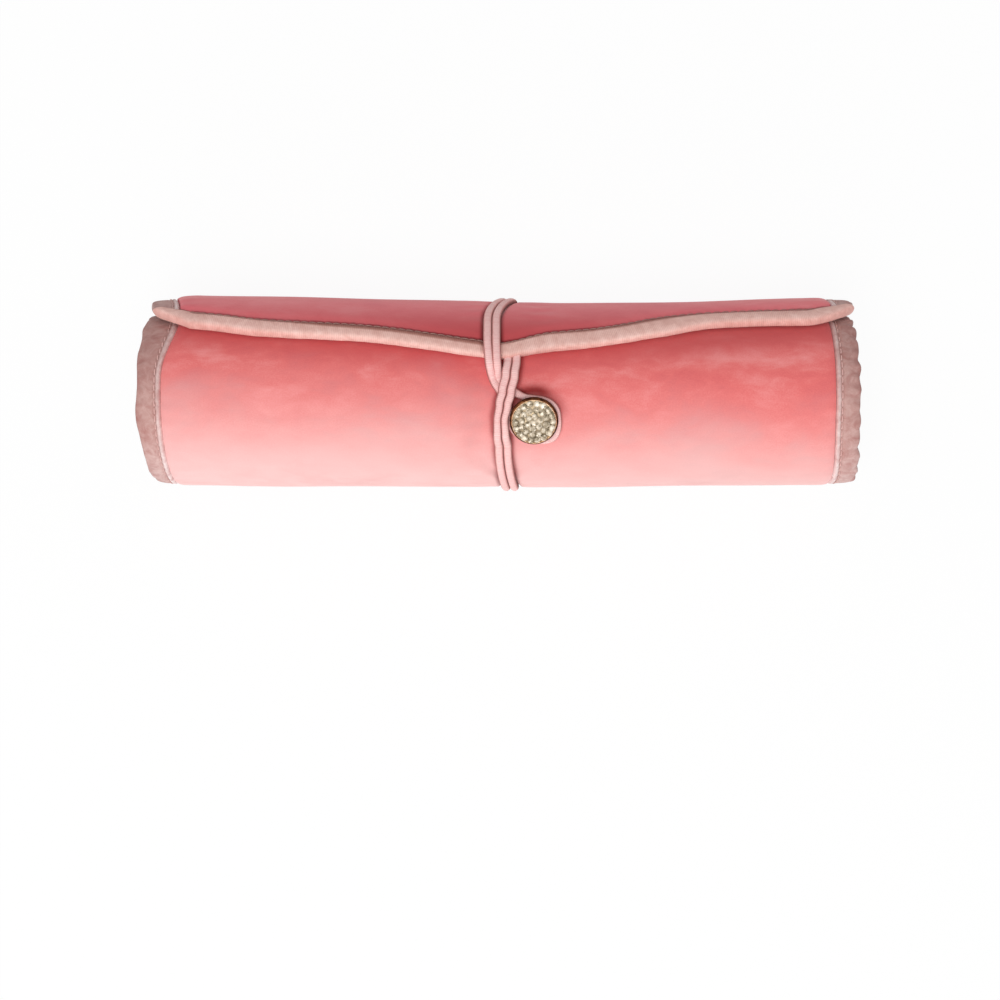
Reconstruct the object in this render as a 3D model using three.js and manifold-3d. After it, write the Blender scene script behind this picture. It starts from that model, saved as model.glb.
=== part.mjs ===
// A jewelry roll: a padded velvet sheet with a pointed flap, bound in ribbon, rolled up and held shut by
// a doubled elastic that goes once round it and loops over a stone-set button.
// Millimetres and degrees, +Z up. X runs along the roll, and the origin lies under its middle, on the
// surface that it rests on. Angles run round the roll from the top towards the back (+Y), and carry on
// past a full turn as the sheet spirals inwards. Depths are counted from the velvet face inwards.

import * as THREE from "three";
import { mergeVertices } from "three/addons/utils/BufferGeometryUtils.js";
import Module from "manifold-3d";

// Sheet
const ROLL_LENGTH = 230;
const FLAP_RADIUS = 33.5;
const COVER_THICK = 3.6;
const LINING_THICK = 0.7;
const LAYER_GAP = 0.5;
const CLEAR = 0.3;
const FLAT_DEPTH = 1.2;

// Folds
const FLAP_POINT_ANGLE = 17;
const FLAP_CORNER_ANGLE = 42;
const FIRST_FOLD = 96;
const PANEL_ANGLE = 56;
const OUTER_PANELS = ["flap", "back", "base", "front_low", "front_high", "crown"];
const INNER_PANELS = ["tuck_1", "tuck_2", "tuck_3"];
const PANEL_NAMES = [...OUTER_PANELS, ...INNER_PANELS];
const PANEL_STEPS = 8;
const FLAP_STEPS = 10;

// Ribbon binding
const SIDE_BINDING_WIDTH = 8;
const EDGE_BINDING_WIDTH = 5;
const BINDING_THICK = 2.6;
const BINDING_INSET = 1;
const BINDING_ROUND = 0.8;

// Elastic and the waist that it draws into the velvet
const STRAND_WIDTH = 2.8;
const STRAND_OVERLAP = 0.1;
const STRAND_SQUASHED = 1.4;
const STRAND_SIDES = 8;
const FLOOR_GAP = 0.2;
const WAIST_X = 2;
const WAIST_DEPTH = 1.8;
const WAIST_HALF_WIDTH = 6.5;
const WAIST_FADE = 9.5;
const WAIST_STEPS = 3;

// Button
const BUTTON_X = 11.2;
const BUTTON_ANGLE = -18;
const DRUM_RADIUS = 6;
const DRUM_HEIGHT = 3.2;
const RIM_RADIUS = 7.3;
const RIM_HEIGHT = 2.1;
const RIM_WALL = 0.6;
const CUP_DEPTH = 1;
const SHANK_RADIUS = 1.6;
const STONE_RADIUS = 1;
const STONE_PITCH = 2.05;
const STONE_RINGS = 2;
const STONE_BED = 0.4;
const STONE_HEIGHT = 0.9;
const STONE_CROWN = 1.2;
const BUTTON_SIDES = 24;

// Zip pockets
const ZIP_MARGIN = 20;
const TAPE_WIDTH = 8;
const TAPE_THICK = 0.6;
const COIL_WIDTH = 2.6;
const COIL_HEIGHT = 0.9;
const SEAM_MARGIN = 1.2;
const POCKET_THICK = 0.7;
const SLIDER_LENGTH = 9;
const SLIDER_WIDTH = 5;
const SLIDER_HEIGHT = 1.4;
const BRIDGE_LENGTH = 5;
const BRIDGE_WIDTH = 1.6;
const BRIDGE_WALL = 0.8;
const EYE_HEIGHT = 1.9;
const PULL_LENGTH = 13;
const PULL_WIDTH = 4.6;
const PULL_THICK = 0.9;
const PULL_RIM = 1.1;

// Ring bar
const RING_BAR_RADIUS = 8;
const RING_BAR_MARGIN = 25;
const RING_BAR_NECK = 5;
const TAB_LENGTH = 12;
const TAB_WIDTH = 11;
const TAB_THICK = 1.2;
const SNAP_RADIUS = 3.6;
const SOCKET_HEIGHT = 1.6;
const STUD_HEIGHT = 1.4;

// Worked-out sizes
const HALF_LENGTH = ROLL_LENGTH / 2;
const COVER_HALF = HALF_LENGTH - SIDE_BINDING_WIDTH;
const ZIP_LENGTH = ROLL_LENGTH - 2 * ZIP_MARGIN;
const RING_BAR_LENGTH = ROLL_LENGTH - 2 * RING_BAR_MARGIN;
const SHEET_THICK = COVER_THICK + CLEAR + LINING_THICK;
const PITCH = SHEET_THICK + LAYER_GAP;
const STRAND_RADIUS = STRAND_WIDTH / 2;
const STRAND_OFFSET = (STRAND_WIDTH - STRAND_OVERLAP) / 2;
const FULL_TURN = 360;
const HALF_TURN = 180;
const foldAngle = (fold) => FIRST_FOLD + PANEL_ANGLE * fold;
const TAIL_ANGLE = foldAngle(PANEL_NAMES.length - 1);

const wasm = await Module();
wasm.setup();

const toRadians = THREE.MathUtils.degToRad;
const toDegrees = THREE.MathUtils.radToDeg;
const mix = THREE.MathUtils.lerp;

// The velvet face spirals inwards by one pitch in each turn.
const turnRadius = (angle) => FLAP_RADIUS - (PITCH * (angle - FLAP_POINT_ANGLE)) / FULL_TURN;
const AXIS_HEIGHT = turnRadius(HALF_TURN) - FLAT_DEPTH;
const AXIS_Y = (turnRadius(HALF_TURN * 1.5) - turnRadius(HALF_TURN / 2)) / 2;
const arcAngle = (length, angle) => toDegrees(length / turnRadius(angle));

function atRadius(x, angle, radius) {
  const turn = toRadians(angle);
  return new THREE.Vector3(x, AXIS_Y + radius * Math.sin(turn), AXIS_HEIGHT + radius * Math.cos(turn));
}

// How far the elastic has drawn the velvet in: 1 under it, falling smoothly to 0 on either side.
function waistShare(x) {
  const beyond = Math.abs(x - WAIST_X) - WAIST_HALF_WIDTH;
  return 1 - THREE.MathUtils.smoothstep(beyond, 0, WAIST_FADE);
}

// The radius at which a point of the outer turn is down to a height above the resting surface.
function restRadius(angle, height) {
  const fromBottom = Math.cos(toRadians(angle - HALF_TURN));
  return angle > FULL_TURN || fromBottom <= 0 ? Infinity : (AXIS_HEIGHT - height) / fromBottom;
}

// The velvet face: the spiral, less the waist, and flat where the roll rests.
function faceRadius(x, angle) {
  const share = waistShare(x);
  const restHeight = share * (FLOOR_GAP + STRAND_SQUASHED + CLEAR);
  return Math.min(turnRadius(angle) - WAIST_DEPTH * share, restRadius(angle, restHeight));
}

const flapEdge = (x) => mix(FLAP_POINT_ANGLE, FLAP_CORNER_ANGLE, Math.abs(x) / HALF_LENGTH);

// Shape tools

// A box of columns along the roll, rows round it and one layer, whose corners go where place puts them.
function bentBox(columns, rows, place) {
  const box = new THREE.BoxGeometry(1, 1, 1, columns.length - 1, rows.length - 1, 1);
  const corners = box.attributes.position;
  for (let i = 0; i < corners.count; i += 1) {
    const column = columns[Math.round((corners.getX(i) + 0.5) * (columns.length - 1))];
    const row = rows[Math.round((corners.getY(i) + 0.5) * (rows.length - 1))];
    const point = place(column, row, corners.getZ(i) > 0);
    corners.setXYZ(i, point.x, point.y, point.z);
  }
  box.computeVertexNormals();
  return box;
}

const evenSteps = (count) => Array.from({ length: count + 1 }, (_, i) => i / count);

function toSolid(geometry) {
  const bare = geometry.clone();
  bare.deleteAttribute("normal");
  bare.deleteAttribute("uv");
  const merged = mergeVertices(bare);
  const vertProperties = new Float32Array(merged.attributes.position.array);
  const triVerts = new Uint32Array(merged.index.array);
  return new wasm.Manifold(new wasm.Mesh({ numProp: 3, vertProperties, triVerts }));
}

function toGeometry(solid) {
  const cut = solid.getMesh();
  const geometry = new THREE.BufferGeometry();
  geometry.setAttribute("position", new THREE.BufferAttribute(new Float32Array(cut.vertProperties), 3));
  geometry.setIndex(new THREE.BufferAttribute(new Uint32Array(cut.triVerts), 1));
  geometry.computeVertexNormals();
  return geometry;
}

const joined = (pieces) => toGeometry(pieces.map(toSolid).reduce((whole, piece) => whole.add(piece)));

// A turned shape: the profile's points are radius and height, from the axis back to the axis.
function turned(profile, sides) {
  const points = profile.map(([radius, height]) => new THREE.Vector2(radius, height));
  return new THREE.LatheGeometry(points, sides).rotateX(Math.PI / 2);
}

function rectangle(left, right, low, high) {
  const shape = new THREE.Shape();
  shape.moveTo(left, low);
  shape.lineTo(right, low);
  shape.lineTo(right, high);
  shape.lineTo(left, high);
  shape.closePath();
  return shape;
}

const plate = (shape, depth) => new THREE.ExtrudeGeometry(shape, { depth, bevelEnabled: false });

// Materials
function finish(color, roughness, metalness) {
  return new THREE.MeshStandardMaterial({ color, roughness, metalness });
}
const velvet = finish("#e47c7b", 0.95, 0);
const satin = finish("#efc4bb", 0.45, 0);
const sideRibbon = finish("#c29490", 0.85, 0);
const edgeRibbon = finish("#e5b6af", 0.8, 0);
const elastic = finish("#fcc8c6", 0.75, 0);
const gold = finish("#e9c3a0", 0.25, 1);
const crystal = finish("#dccab8", 0.08, 0.1);
const thread = finish("#d99b96", 0.85, 0);
const zipTape = finish("#d6a29d", 0.8, 0);

const roll = new THREE.Group();

function addMesh(parent, name, geometry, material) {
  const mesh = new THREE.Mesh(geometry, material);
  mesh.name = name;
  parent.add(mesh);
}

// Panels of the sheet

const halfFold = (angle) => arcAngle(CLEAR / 2, angle);
const edgeStrip = (angle) => arcAngle(EDGE_BINDING_WIDTH + CLEAR, angle);

// The fold lines on either side of a panel. The flap starts at its bound edge, the last panel ends at one.
function panelSpan(index) {
  const isFlap = index === 0;
  const isTail = index === PANEL_NAMES.length - 1;
  const start = foldAngle(index - 1);
  const end = foldAngle(index);
  const first = (x) => (isFlap ? flapEdge(x) + edgeStrip(flapEdge(x)) : start + halfFold(start));
  const last = isTail ? TAIL_ANGLE - edgeStrip(TAIL_ANGLE) : end - halfFold(end);
  return { first, last };
}

function waistColumns() {
  const share = evenSteps(WAIST_STEPS).map((step) => WAIST_HALF_WIDTH + WAIST_FADE * step);
  return [...share.map((offset) => WAIST_X - offset).reverse(), ...share.map((offset) => WAIST_X + offset)];
}

const outerColumns = [-COVER_HALF, ...waistColumns(), COVER_HALF];
const evenColumns = evenSteps(FLAP_STEPS).map((step) => mix(-COVER_HALF, COVER_HALF, step));
const flapColumns = [...waistColumns(), ...evenColumns].sort((a, b) => a - b);
const plainColumns = [-COVER_HALF, COVER_HALF];

// The elastic reaches the velvet of the outer panels only.
const isOuterTurn = (index) => index < OUTER_PANELS.length;

function coverGeometry(index) {
  const { first, last } = panelSpan(index);
  const columns = index === 0 ? flapColumns : isOuterTurn(index) ? outerColumns : plainColumns;
  return bentBox(columns, evenSteps(PANEL_STEPS), (x, row, isOuter) => {
    const angle = mix(first(x), last, row);
    const face = isOuterTurn(index) ? faceRadius(x, angle) : turnRadius(angle);
    return atRadius(x, angle, isOuter ? face : turnRadius(angle) - COVER_THICK);
  });
}

// A layer of even thickness that lies on the inside of a panel, such as its lining.
function layerGeometry(columns, rows, angleAt, depth, thick) {
  return bentBox(columns, rows, (x, row, isOuter) => {
    const angle = angleAt(x, row);
    return atRadius(x, angle, turnRadius(angle) - depth - (isOuter ? 0 : thick));
  });
}

function liningGeometry(index) {
  const { first, last } = panelSpan(index);
  const columns = index === 0 ? flapColumns : plainColumns;
  const angleAt = (x, row) => mix(first(x), last, row);
  return layerGeometry(columns, evenSteps(PANEL_STEPS), angleAt, COVER_THICK + CLEAR, LINING_THICK);
}

// Ribbon lies at the middle of the sheet's thickness, and thins towards its free edge.
function ribbonRadius(angle, isOuter, atEdge, sunk) {
  const round = atEdge ? BINDING_ROUND : 0;
  const depth = isOuter ? Math.max(BINDING_INSET, sunk) + round : BINDING_INSET + BINDING_THICK - round;
  return Math.min(turnRadius(angle) - depth, restRadius(angle, 0));
}

function sideBindingGeometry(index, side) {
  const { first, last } = panelSpan(index);
  const across = [COVER_HALF + CLEAR, HALF_LENGTH - BINDING_ROUND, HALF_LENGTH];
  const columns = across.map((x) => side * x).sort((a, b) => a - b);
  return bentBox(columns, evenSteps(PANEL_STEPS), (x, row, isOuter) => {
    const angle = mix(first(x), last, row);
    return atRadius(x, angle, ribbonRadius(angle, isOuter, Math.abs(x) === HALF_LENGTH, 0));
  });
}

// The ribbon along a short edge: outwards is -1 where the sheet's edge lies at the smaller angle.
function edgeBindingGeometry(columns, edgeAt, outwards, sunkAt) {
  const rows = [0, EDGE_BINDING_WIDTH - BINDING_ROUND, EDGE_BINDING_WIDTH];
  const fromEdge = outwards < 0 ? rows.map((row) => EDGE_BINDING_WIDTH - row).reverse() : [...rows];
  return bentBox(columns, fromEdge, (x, row, isOuter) => {
    const edge = edgeAt(x);
    const inwards = outwards < 0 ? row : EDGE_BINDING_WIDTH - row;
    const angle = edge - outwards * arcAngle(inwards, edge);
    return atRadius(x, angle, ribbonRadius(angle, isOuter, inwards === 0, sunkAt(x)));
  });
}

PANEL_NAMES.forEach((name, index) => {
  addMesh(roll, `cover_${name}`, coverGeometry(index), velvet);
  addMesh(roll, `lining_${name}`, liningGeometry(index), satin);
  addMesh(roll, `left_binding_${name}`, sideBindingGeometry(index, -1), sideRibbon);
  addMesh(roll, `right_binding_${name}`, sideBindingGeometry(index, 1), sideRibbon);
});

const flapRibbonColumns = [-HALF_LENGTH, ...flapColumns.slice(1, -1), HALF_LENGTH];
const flapRibbon = edgeBindingGeometry(flapRibbonColumns, flapEdge, -1, (x) => WAIST_DEPTH * waistShare(x));
addMesh(roll, "flap_edge_binding", flapRibbon, edgeRibbon);
const tailRibbon = edgeBindingGeometry([-HALF_LENGTH, HALF_LENGTH], () => TAIL_ANGLE, 1, () => 0);
addMesh(roll, "inner_edge_binding", tailRibbon, edgeRibbon);

// Elastic: it leaves the flap's point, runs down the front, under, up the back and over the flap again,
// passes under itself and goes round the button. Its angles count down from the flap's point.

const LIFT_OVER = STRAND_WIDTH + CLEAR;
const RIBBON_MIDDLE = (Math.max(BINDING_INSET, WAIST_DEPTH) + BINDING_INSET + BINDING_THICK) / 2;
const ON_FACE = CLEAR + STRAND_RADIUS;
const START_LIFT = PITCH - RIBBON_MIDDLE + WAIST_DEPTH - ON_FACE;
const ONTO_FLAP = PITCH;
const OFF_FLAP = LAYER_GAP / 2;
const LOOP_START = foldAngle(-1);

// The middle of the two strands: angle, place along the roll in strand widths, lift off the velvet.
const PAIR_END = -0.75;
const PAIR_ROUTE = [
  [FLAP_POINT_ANGLE, 1.536, START_LIFT],
  [8, 1.286, LIFT_OVER],
  [-2, 0.714, LIFT_OVER],
  [-9, 0.393, LIFT_OVER],
  [-18, 0.179, LIFT_OVER],
  [-26, 0.214, LIFT_OVER],
  [-38, 0.429, 0],
  [-96, 1.321, 0],
  [-180, 1.214, 0],
  [-264, 0.75, 0],
  [-316, PAIR_END, 0],
  [-330, PAIR_END, 0],
];

// The loop from its left strand, round the button and back: place along the roll, angle, lift.
const LEFT_STRAND = PAIR_END - STRAND_OFFSET / STRAND_WIDTH;
const RIGHT_STRAND = PAIR_END + STRAND_OFFSET / STRAND_WIDTH;
const LOOP_ROUTE = [
  [LEFT_STRAND, LOOP_START, ONTO_FLAP],
  [LEFT_STRAND, 28, ONTO_FLAP],
  [LEFT_STRAND, 15, ONTO_FLAP],
  [LEFT_STRAND, 11, ONTO_FLAP / 2],
  [LEFT_STRAND, 7, OFF_FLAP],
  [-1.036, 3, 0],
  [-0.286, -2, 0],
  [0.679, -8, 0],
  [1.107, -15, 0],
  [1.286, -22, 0],
  [2.036, -29, 0],
  [3.429, -33.5, 0],
  [5, -34, 0],
  [6.357, -31.5, 0],
  [7.143, -26, 0],
  [6.964, -17, 0],
  [6.143, -8.5, 0],
  [4.643, -3, 0],
  [3, -1.6, 0],
  [1.429, -0.4, 0],
  [0.25, 2.6, 0],
  [RIGHT_STRAND, 7, OFF_FLAP],
  [RIGHT_STRAND, 11, ONTO_FLAP / 2],
  [RIGHT_STRAND, 15, ONTO_FLAP],
  [RIGHT_STRAND, 28, ONTO_FLAP],
  [RIGHT_STRAND, LOOP_START, ONTO_FLAP],
];

// The elastic bends where the sheet under it folds, from the front round to the flap.
const BENT_AT_FOLDS = [4, 3, 2, 1, 0, -1];
const UNDER_BASE = 3;
const ELASTIC_FOLDS = [FLAP_POINT_ANGLE, ...BENT_AT_FOLDS.map((fold) => foldAngle(fold) - FULL_TURN)];

function pairAt(angle) {
  const next = Math.max(1, PAIR_ROUTE.findIndex(([end]) => end <= angle));
  const [a0, x0, lift0] = PAIR_ROUTE[next - 1];
  const [a1, x1, lift1] = PAIR_ROUTE[next];
  const share = THREE.MathUtils.smoothstep(a0 - angle, 0, a0 - a1);
  return { x: STRAND_WIDTH * mix(x0, x1, share), lift: mix(lift0, lift1, share) };
}

function pairPoint(angle, radius) {
  const { x, lift } = pairAt(angle);
  const onSheet = angle + FULL_TURN;
  return atRadius(x, angle, faceRadius(WAIST_X, onSheet) + CLEAR + radius + lift);
}

// Two round strands side by side, as one outline, squeezed to the given height.
function pairSection(height) {
  const section = new THREE.Shape();
  const meet = Math.acos(STRAND_OFFSET / STRAND_RADIUS);
  const arc = (centre, from, to) =>
    evenSteps(STRAND_SIDES).slice(0, -1).map((step) => {
      const turn = mix(from, to, step);
      const across = centre + STRAND_RADIUS * Math.cos(turn);
      return new THREE.Vector2(across, (height / 2) * Math.sin(turn));
    });
  const right = arc(STRAND_OFFSET, meet - Math.PI, Math.PI - meet);
  const left = arc(-STRAND_OFFSET, meet, 2 * Math.PI - meet);
  section.setFromPoints([...right, ...left]);
  return section;
}

function strandAlong(section, points, steps) {
  const extrudePath = new THREE.CatmullRomCurve3(points);
  return new THREE.ExtrudeGeometry(section, { steps, extrudePath });
}

function elasticGeometry(index) {
  const height = index === UNDER_BASE ? STRAND_SQUASHED : STRAND_WIDTH;
  const startGap = index === 0 ? arcAngle(CLEAR, FLAP_POINT_ANGLE) : halfFold(FLAP_POINT_ANGLE);
  const start = ELASTIC_FOLDS[index] - startGap;
  const end = ELASTIC_FOLDS[index + 1] + halfFold(FLAP_POINT_ANGLE);
  const steps = index === 0 ? PANEL_STEPS * 2 : PANEL_STEPS;
  const points = evenSteps(steps).map((step) => pairPoint(mix(start, end, step), height / 2));
  return strandAlong(pairSection(height), points, steps);
}

function loopGeometry() {
  const points = LOOP_ROUTE.map(([along, angle, lift], i) => {
    const isEnd = i === 0 || i === LOOP_ROUTE.length - 1;
    const place = isEnd ? angle - halfFold(FLAP_POINT_ANGLE) : angle;
    const x = STRAND_WIDTH * along;
    return atRadius(x, place, faceRadius(x, place + FULL_TURN) + ON_FACE + lift);
  });
  const section = new THREE.Shape();
  section.absarc(0, 0, STRAND_RADIUS, 0, 2 * Math.PI);
  const round = new THREE.Shape(section.getSpacedPoints(STRAND_SIDES).slice(0, -1));
  return strandAlong(round, points, LOOP_ROUTE.length * 2);
}

for (let index = 0; index < ELASTIC_FOLDS.length - 1; index += 1) {
  addMesh(roll, `elastic_${index + 1}`, elasticGeometry(index), elastic);
}
addMesh(roll, "elastic_loop", loopGeometry(), elastic);

// Button, with its own frame: Z out of the velvet, its foot on the velvet face

const button = new THREE.Group();
const buttonOnSheet = BUTTON_ANGLE + FULL_TURN;
button.position.copy(atRadius(BUTTON_X, buttonOnSheet, turnRadius(buttonOnSheet)));
button.rotation.x = -toRadians(buttonOnSheet);
roll.add(button);

const DRUM_FOOT = CLEAR;
const RIM_FOOT = DRUM_FOOT + DRUM_HEIGHT;
const RIM_TOP = RIM_FOOT + RIM_HEIGHT;
const CUP_FLOOR = RIM_TOP - CUP_DEPTH;
const CUP_RADIUS = RIM_RADIUS - RIM_WALL;

const cupProfile = [
  [0, DRUM_FOOT],
  [DRUM_RADIUS, DRUM_FOOT],
  [DRUM_RADIUS, RIM_FOOT],
  [RIM_RADIUS, RIM_FOOT],
  [RIM_RADIUS, RIM_TOP],
  [CUP_RADIUS, RIM_TOP],
  [CUP_RADIUS, CUP_FLOOR],
  [0, CUP_FLOOR],
];
addMesh(button, "button_cup", turned(cupProfile, BUTTON_SIDES), gold);

// Stones stand in rings on one bed that swells towards the middle.
function stonesGeometry() {
  const bedRadius = CUP_RADIUS - CLEAR;
  const bedFoot = CUP_FLOOR + CLEAR;
  const bedAt = (radius) => bedFoot + STONE_BED + STONE_CROWN * (1 - (radius / bedRadius) ** 2);
  const ringRadii = evenSteps(STONE_RINGS).map((step) => step * STONE_RINGS * STONE_PITCH);
  const bedProfile = [[0, bedFoot], [bedRadius, bedFoot]];
  bedProfile.push(...[...ringRadii, bedRadius].reverse().map((radius) => [radius, bedAt(radius)]));
  const pieces = [turned(bedProfile, BUTTON_SIDES)];
  ringRadii.forEach((radius, ring) => {
    const count = Math.max(1, Math.floor((2 * Math.PI * radius) / STONE_PITCH));
    for (let i = 0; i < count; i += 1) {
      const turn = (2 * Math.PI * (i + ring / 2)) / count;
      const stone = new THREE.CylinderGeometry(STONE_RADIUS / 2, STONE_RADIUS, STONE_HEIGHT, 6);
      stone.rotateX(Math.PI / 2).translate(radius * Math.cos(turn), radius * Math.sin(turn), bedAt(radius));
      pieces.push(stone);
    }
  });
  return joined(pieces);
}
addMesh(button, "button_stones", stonesGeometry(), crystal);

// The thread shank stands on the velvet where the waist leaves it highest.
const shankFoot = faceRadius(BUTTON_X + SHANK_RADIUS, buttonOnSheet) - turnRadius(buttonOnSheet) + CLEAR;
const shankProfile = [
  [0, shankFoot],
  [SHANK_RADIUS, shankFoot],
  [SHANK_RADIUS, DRUM_FOOT - CLEAR],
  [0, DRUM_FOOT - CLEAR],
];
addMesh(button, "button_shank", turned(shankProfile, BUTTON_SIDES / 2), thread);

// Zip pockets on the inside of the sheet

const ON_LINING = SHEET_THICK + CLEAR;
const COIL_TOP = ON_LINING + TAPE_THICK + COIL_HEIGHT;
const SLIDER_FOOT = COIL_TOP + CLEAR;
const EYE_FOOT = SLIDER_HEIGHT;
const EYE_MIDDLE = EYE_FOOT + EYE_HEIGHT / 2;
const BRIDGE_TOP = EYE_FOOT + EYE_HEIGHT + BRIDGE_WALL;

// Each pocket's panel lies on one panel of the sheet, and its zip just past a fold of that panel.
const POCKETS = [
  { number: 1, panel: 3, fold: 3, towards: 1 },
  { number: 2, panel: 7, fold: 6, towards: -1 },
];

function tapeGeometry(middle) {
  const half = TAPE_WIDTH / 2;
  const coil = COIL_WIDTH / 2;
  const rows = [-half, -coil - CLEAR, -coil, coil, coil + CLEAR, half];
  return bentBox([-ZIP_LENGTH / 2, ZIP_LENGTH / 2], rows, (x, row, isOuter) => {
    const angle = middle + arcAngle(row, middle);
    const height = TAPE_THICK + (Math.abs(row) <= coil ? COIL_HEIGHT : 0);
    return atRadius(x, angle, turnRadius(angle) - ON_LINING - (isOuter ? 0 : height));
  });
}

// A slider is a plate with a bridge on it, whose eye lets the pull's bar through.
function sliderGeometry() {
  const half = SLIDER_LENGTH / 2;
  const eye = BRIDGE_LENGTH / 2 - BRIDGE_WALL;
  const body = plate(rectangle(-half, half, -SLIDER_WIDTH / 2, SLIDER_WIDTH / 2), SLIDER_HEIGHT);
  const side = rectangle(-BRIDGE_LENGTH / 2, BRIDGE_LENGTH / 2, SLIDER_HEIGHT / 2, BRIDGE_TOP);
  side.holes.push(rectangle(-eye, eye, EYE_FOOT, EYE_FOOT + EYE_HEIGHT));
  const bridge = plate(side, BRIDGE_WIDTH).rotateX(Math.PI / 2).translate(0, BRIDGE_WIDTH / 2, 0);
  return joined([body, bridge]);
}

// The pull is a tab whose near end is a frame round the bridge's leg.
function pullGeometry() {
  const bar = PULL_RIM / 2;
  const frame = rectangle(-bar, PULL_LENGTH, -PULL_WIDTH / 2, PULL_WIDTH / 2);
  const inner = PULL_WIDTH / 2 - PULL_RIM;
  frame.holes.push(rectangle(bar, BRIDGE_LENGTH / 2 + PULL_RIM, -inner, inner));
  return plate(frame, PULL_THICK).translate(0, 0, -PULL_THICK / 2);
}

POCKETS.forEach(({ number, panel, fold, towards }) => {
  const seam = foldAngle(fold);
  const middle = seam + towards * arcAngle(TAPE_WIDTH / 2 + SEAM_MARGIN, seam);
  addMesh(roll, `zip_tape_${number}`, tapeGeometry(middle), zipTape);
  const { first, last } = panelSpan(panel);
  const pocketColumns = [-ZIP_LENGTH / 2, ZIP_LENGTH / 2];
  const angleAt = (x, row) => mix(first(x), last, row);
  const panelLayer = layerGeometry(pocketColumns, evenSteps(PANEL_STEPS), angleAt, ON_LINING, POCKET_THICK);
  addMesh(roll, `pocket_panel_${number}`, panelLayer, satin);

  // Z points from the lining into the roll. The slider waits at the closed end, its pull towards that end.
  const runner = new THREE.Group();
  const closedEnd = (ZIP_LENGTH - SLIDER_LENGTH) / 2;
  runner.position.copy(atRadius(closedEnd, middle, turnRadius(middle) - SLIDER_FOOT));
  runner.rotation.x = Math.PI - toRadians(middle);
  roll.add(runner);
  addMesh(runner, `zip_slider_${number}`, sliderGeometry(), gold);
  const swing = new THREE.Group();
  swing.position.z = EYE_MIDDLE;
  runner.add(swing);
  addMesh(swing, `zip_pull_${number}`, pullGeometry(), gold);
});

// Ring bar on the innermost panel: a stuffed tube with a sewn tab at the left and a snap at the right

const tailSpan = panelSpan(PANEL_NAMES.length - 1);
const BAR_ANGLE = (tailSpan.first(0) + tailSpan.last) / 2;
const BAR_DEPTH = ON_LINING + RING_BAR_RADIUS;
const TAB_MIDDLE = (RING_BAR_LENGTH + TAB_LENGTH) / 2;
// A flat disc on a hollow face stands off it by the rise of the face under the disc's edge.
const discRise = (depth) => SNAP_RADIUS ** 2 / (turnRadius(BAR_ANGLE) - depth) / 2;
const SOCKET_FOOT = ON_LINING + discRise(ON_LINING);
const SNAP_TAB_DEPTH = SOCKET_FOOT + SOCKET_HEIGHT + CLEAR;
const SNAP_TAB_FACE = SNAP_TAB_DEPTH + TAB_THICK;
const STUD_FOOT = SNAP_TAB_FACE + CLEAR + discRise(SNAP_TAB_FACE);

function tabGeometry(from, to, depth) {
  const rows = evenSteps(PANEL_STEPS / 2).map((step) => (step - 0.5) * TAB_WIDTH);
  const angleAt = (x, row) => BAR_ANGLE + arcAngle(row, BAR_ANGLE);
  return layerGeometry([from, to], rows, angleAt, depth, TAB_THICK);
}

function ringBarGeometry() {
  const half = RING_BAR_LENGTH / 2;
  const round = RING_BAR_RADIUS - RING_BAR_NECK;
  const profile = [
    [0, -half],
    [RING_BAR_NECK, -half],
    [RING_BAR_RADIUS, -half + round],
    [RING_BAR_RADIUS, half - round],
    [RING_BAR_NECK, half],
    [0, half],
  ];
  const bar = turned(profile, BUTTON_SIDES).rotateY(Math.PI / 2);
  const middle = atRadius(0, BAR_ANGLE, turnRadius(BAR_ANGLE) - BAR_DEPTH);
  bar.translate(middle.x, middle.y, middle.z);
  const inside = half - RING_BAR_RADIUS * 2;
  const sewnTab = tabGeometry(-half - TAB_LENGTH, -inside, ON_LINING);
  const snapTab = tabGeometry(inside, half + TAB_LENGTH, SNAP_TAB_DEPTH);
  return joined([bar, sewnTab, snapTab]);
}
addMesh(roll, "ring_bar", ringBarGeometry(), satin);

function addSnap(name, depth, height) {
  const seat = new THREE.Group();
  seat.position.copy(atRadius(TAB_MIDDLE, BAR_ANGLE, turnRadius(BAR_ANGLE) - depth));
  seat.rotation.x = Math.PI - toRadians(BAR_ANGLE);
  roll.add(seat);
  const disc = new THREE.CylinderGeometry(SNAP_RADIUS, SNAP_RADIUS, height, BUTTON_SIDES / 2);
  addMesh(seat, name, disc.rotateX(Math.PI / 2).translate(0, 0, height / 2), gold);
}
addSnap("snap_socket", SOCKET_FOOT, SOCKET_HEIGHT);
addSnap("snap_stud", STUD_FOOT, STUD_HEIGHT);

export default roll;
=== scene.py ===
# %% [markdown]
# # A velvet jewelry roll
# The real object is one padded sheet: velvet outside, wadding bonded behind it, satin inside, ribbon
# sewn round the edges. It is rolled up from its inner end, and a doubled elastic goes once round it and
# hooks over a stone-set button. This file dresses the CAD frame with the soft and shiny surfaces.
# Every soft piece is worked out on one spiral, so the layers fit each other by construction.

import math

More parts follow.
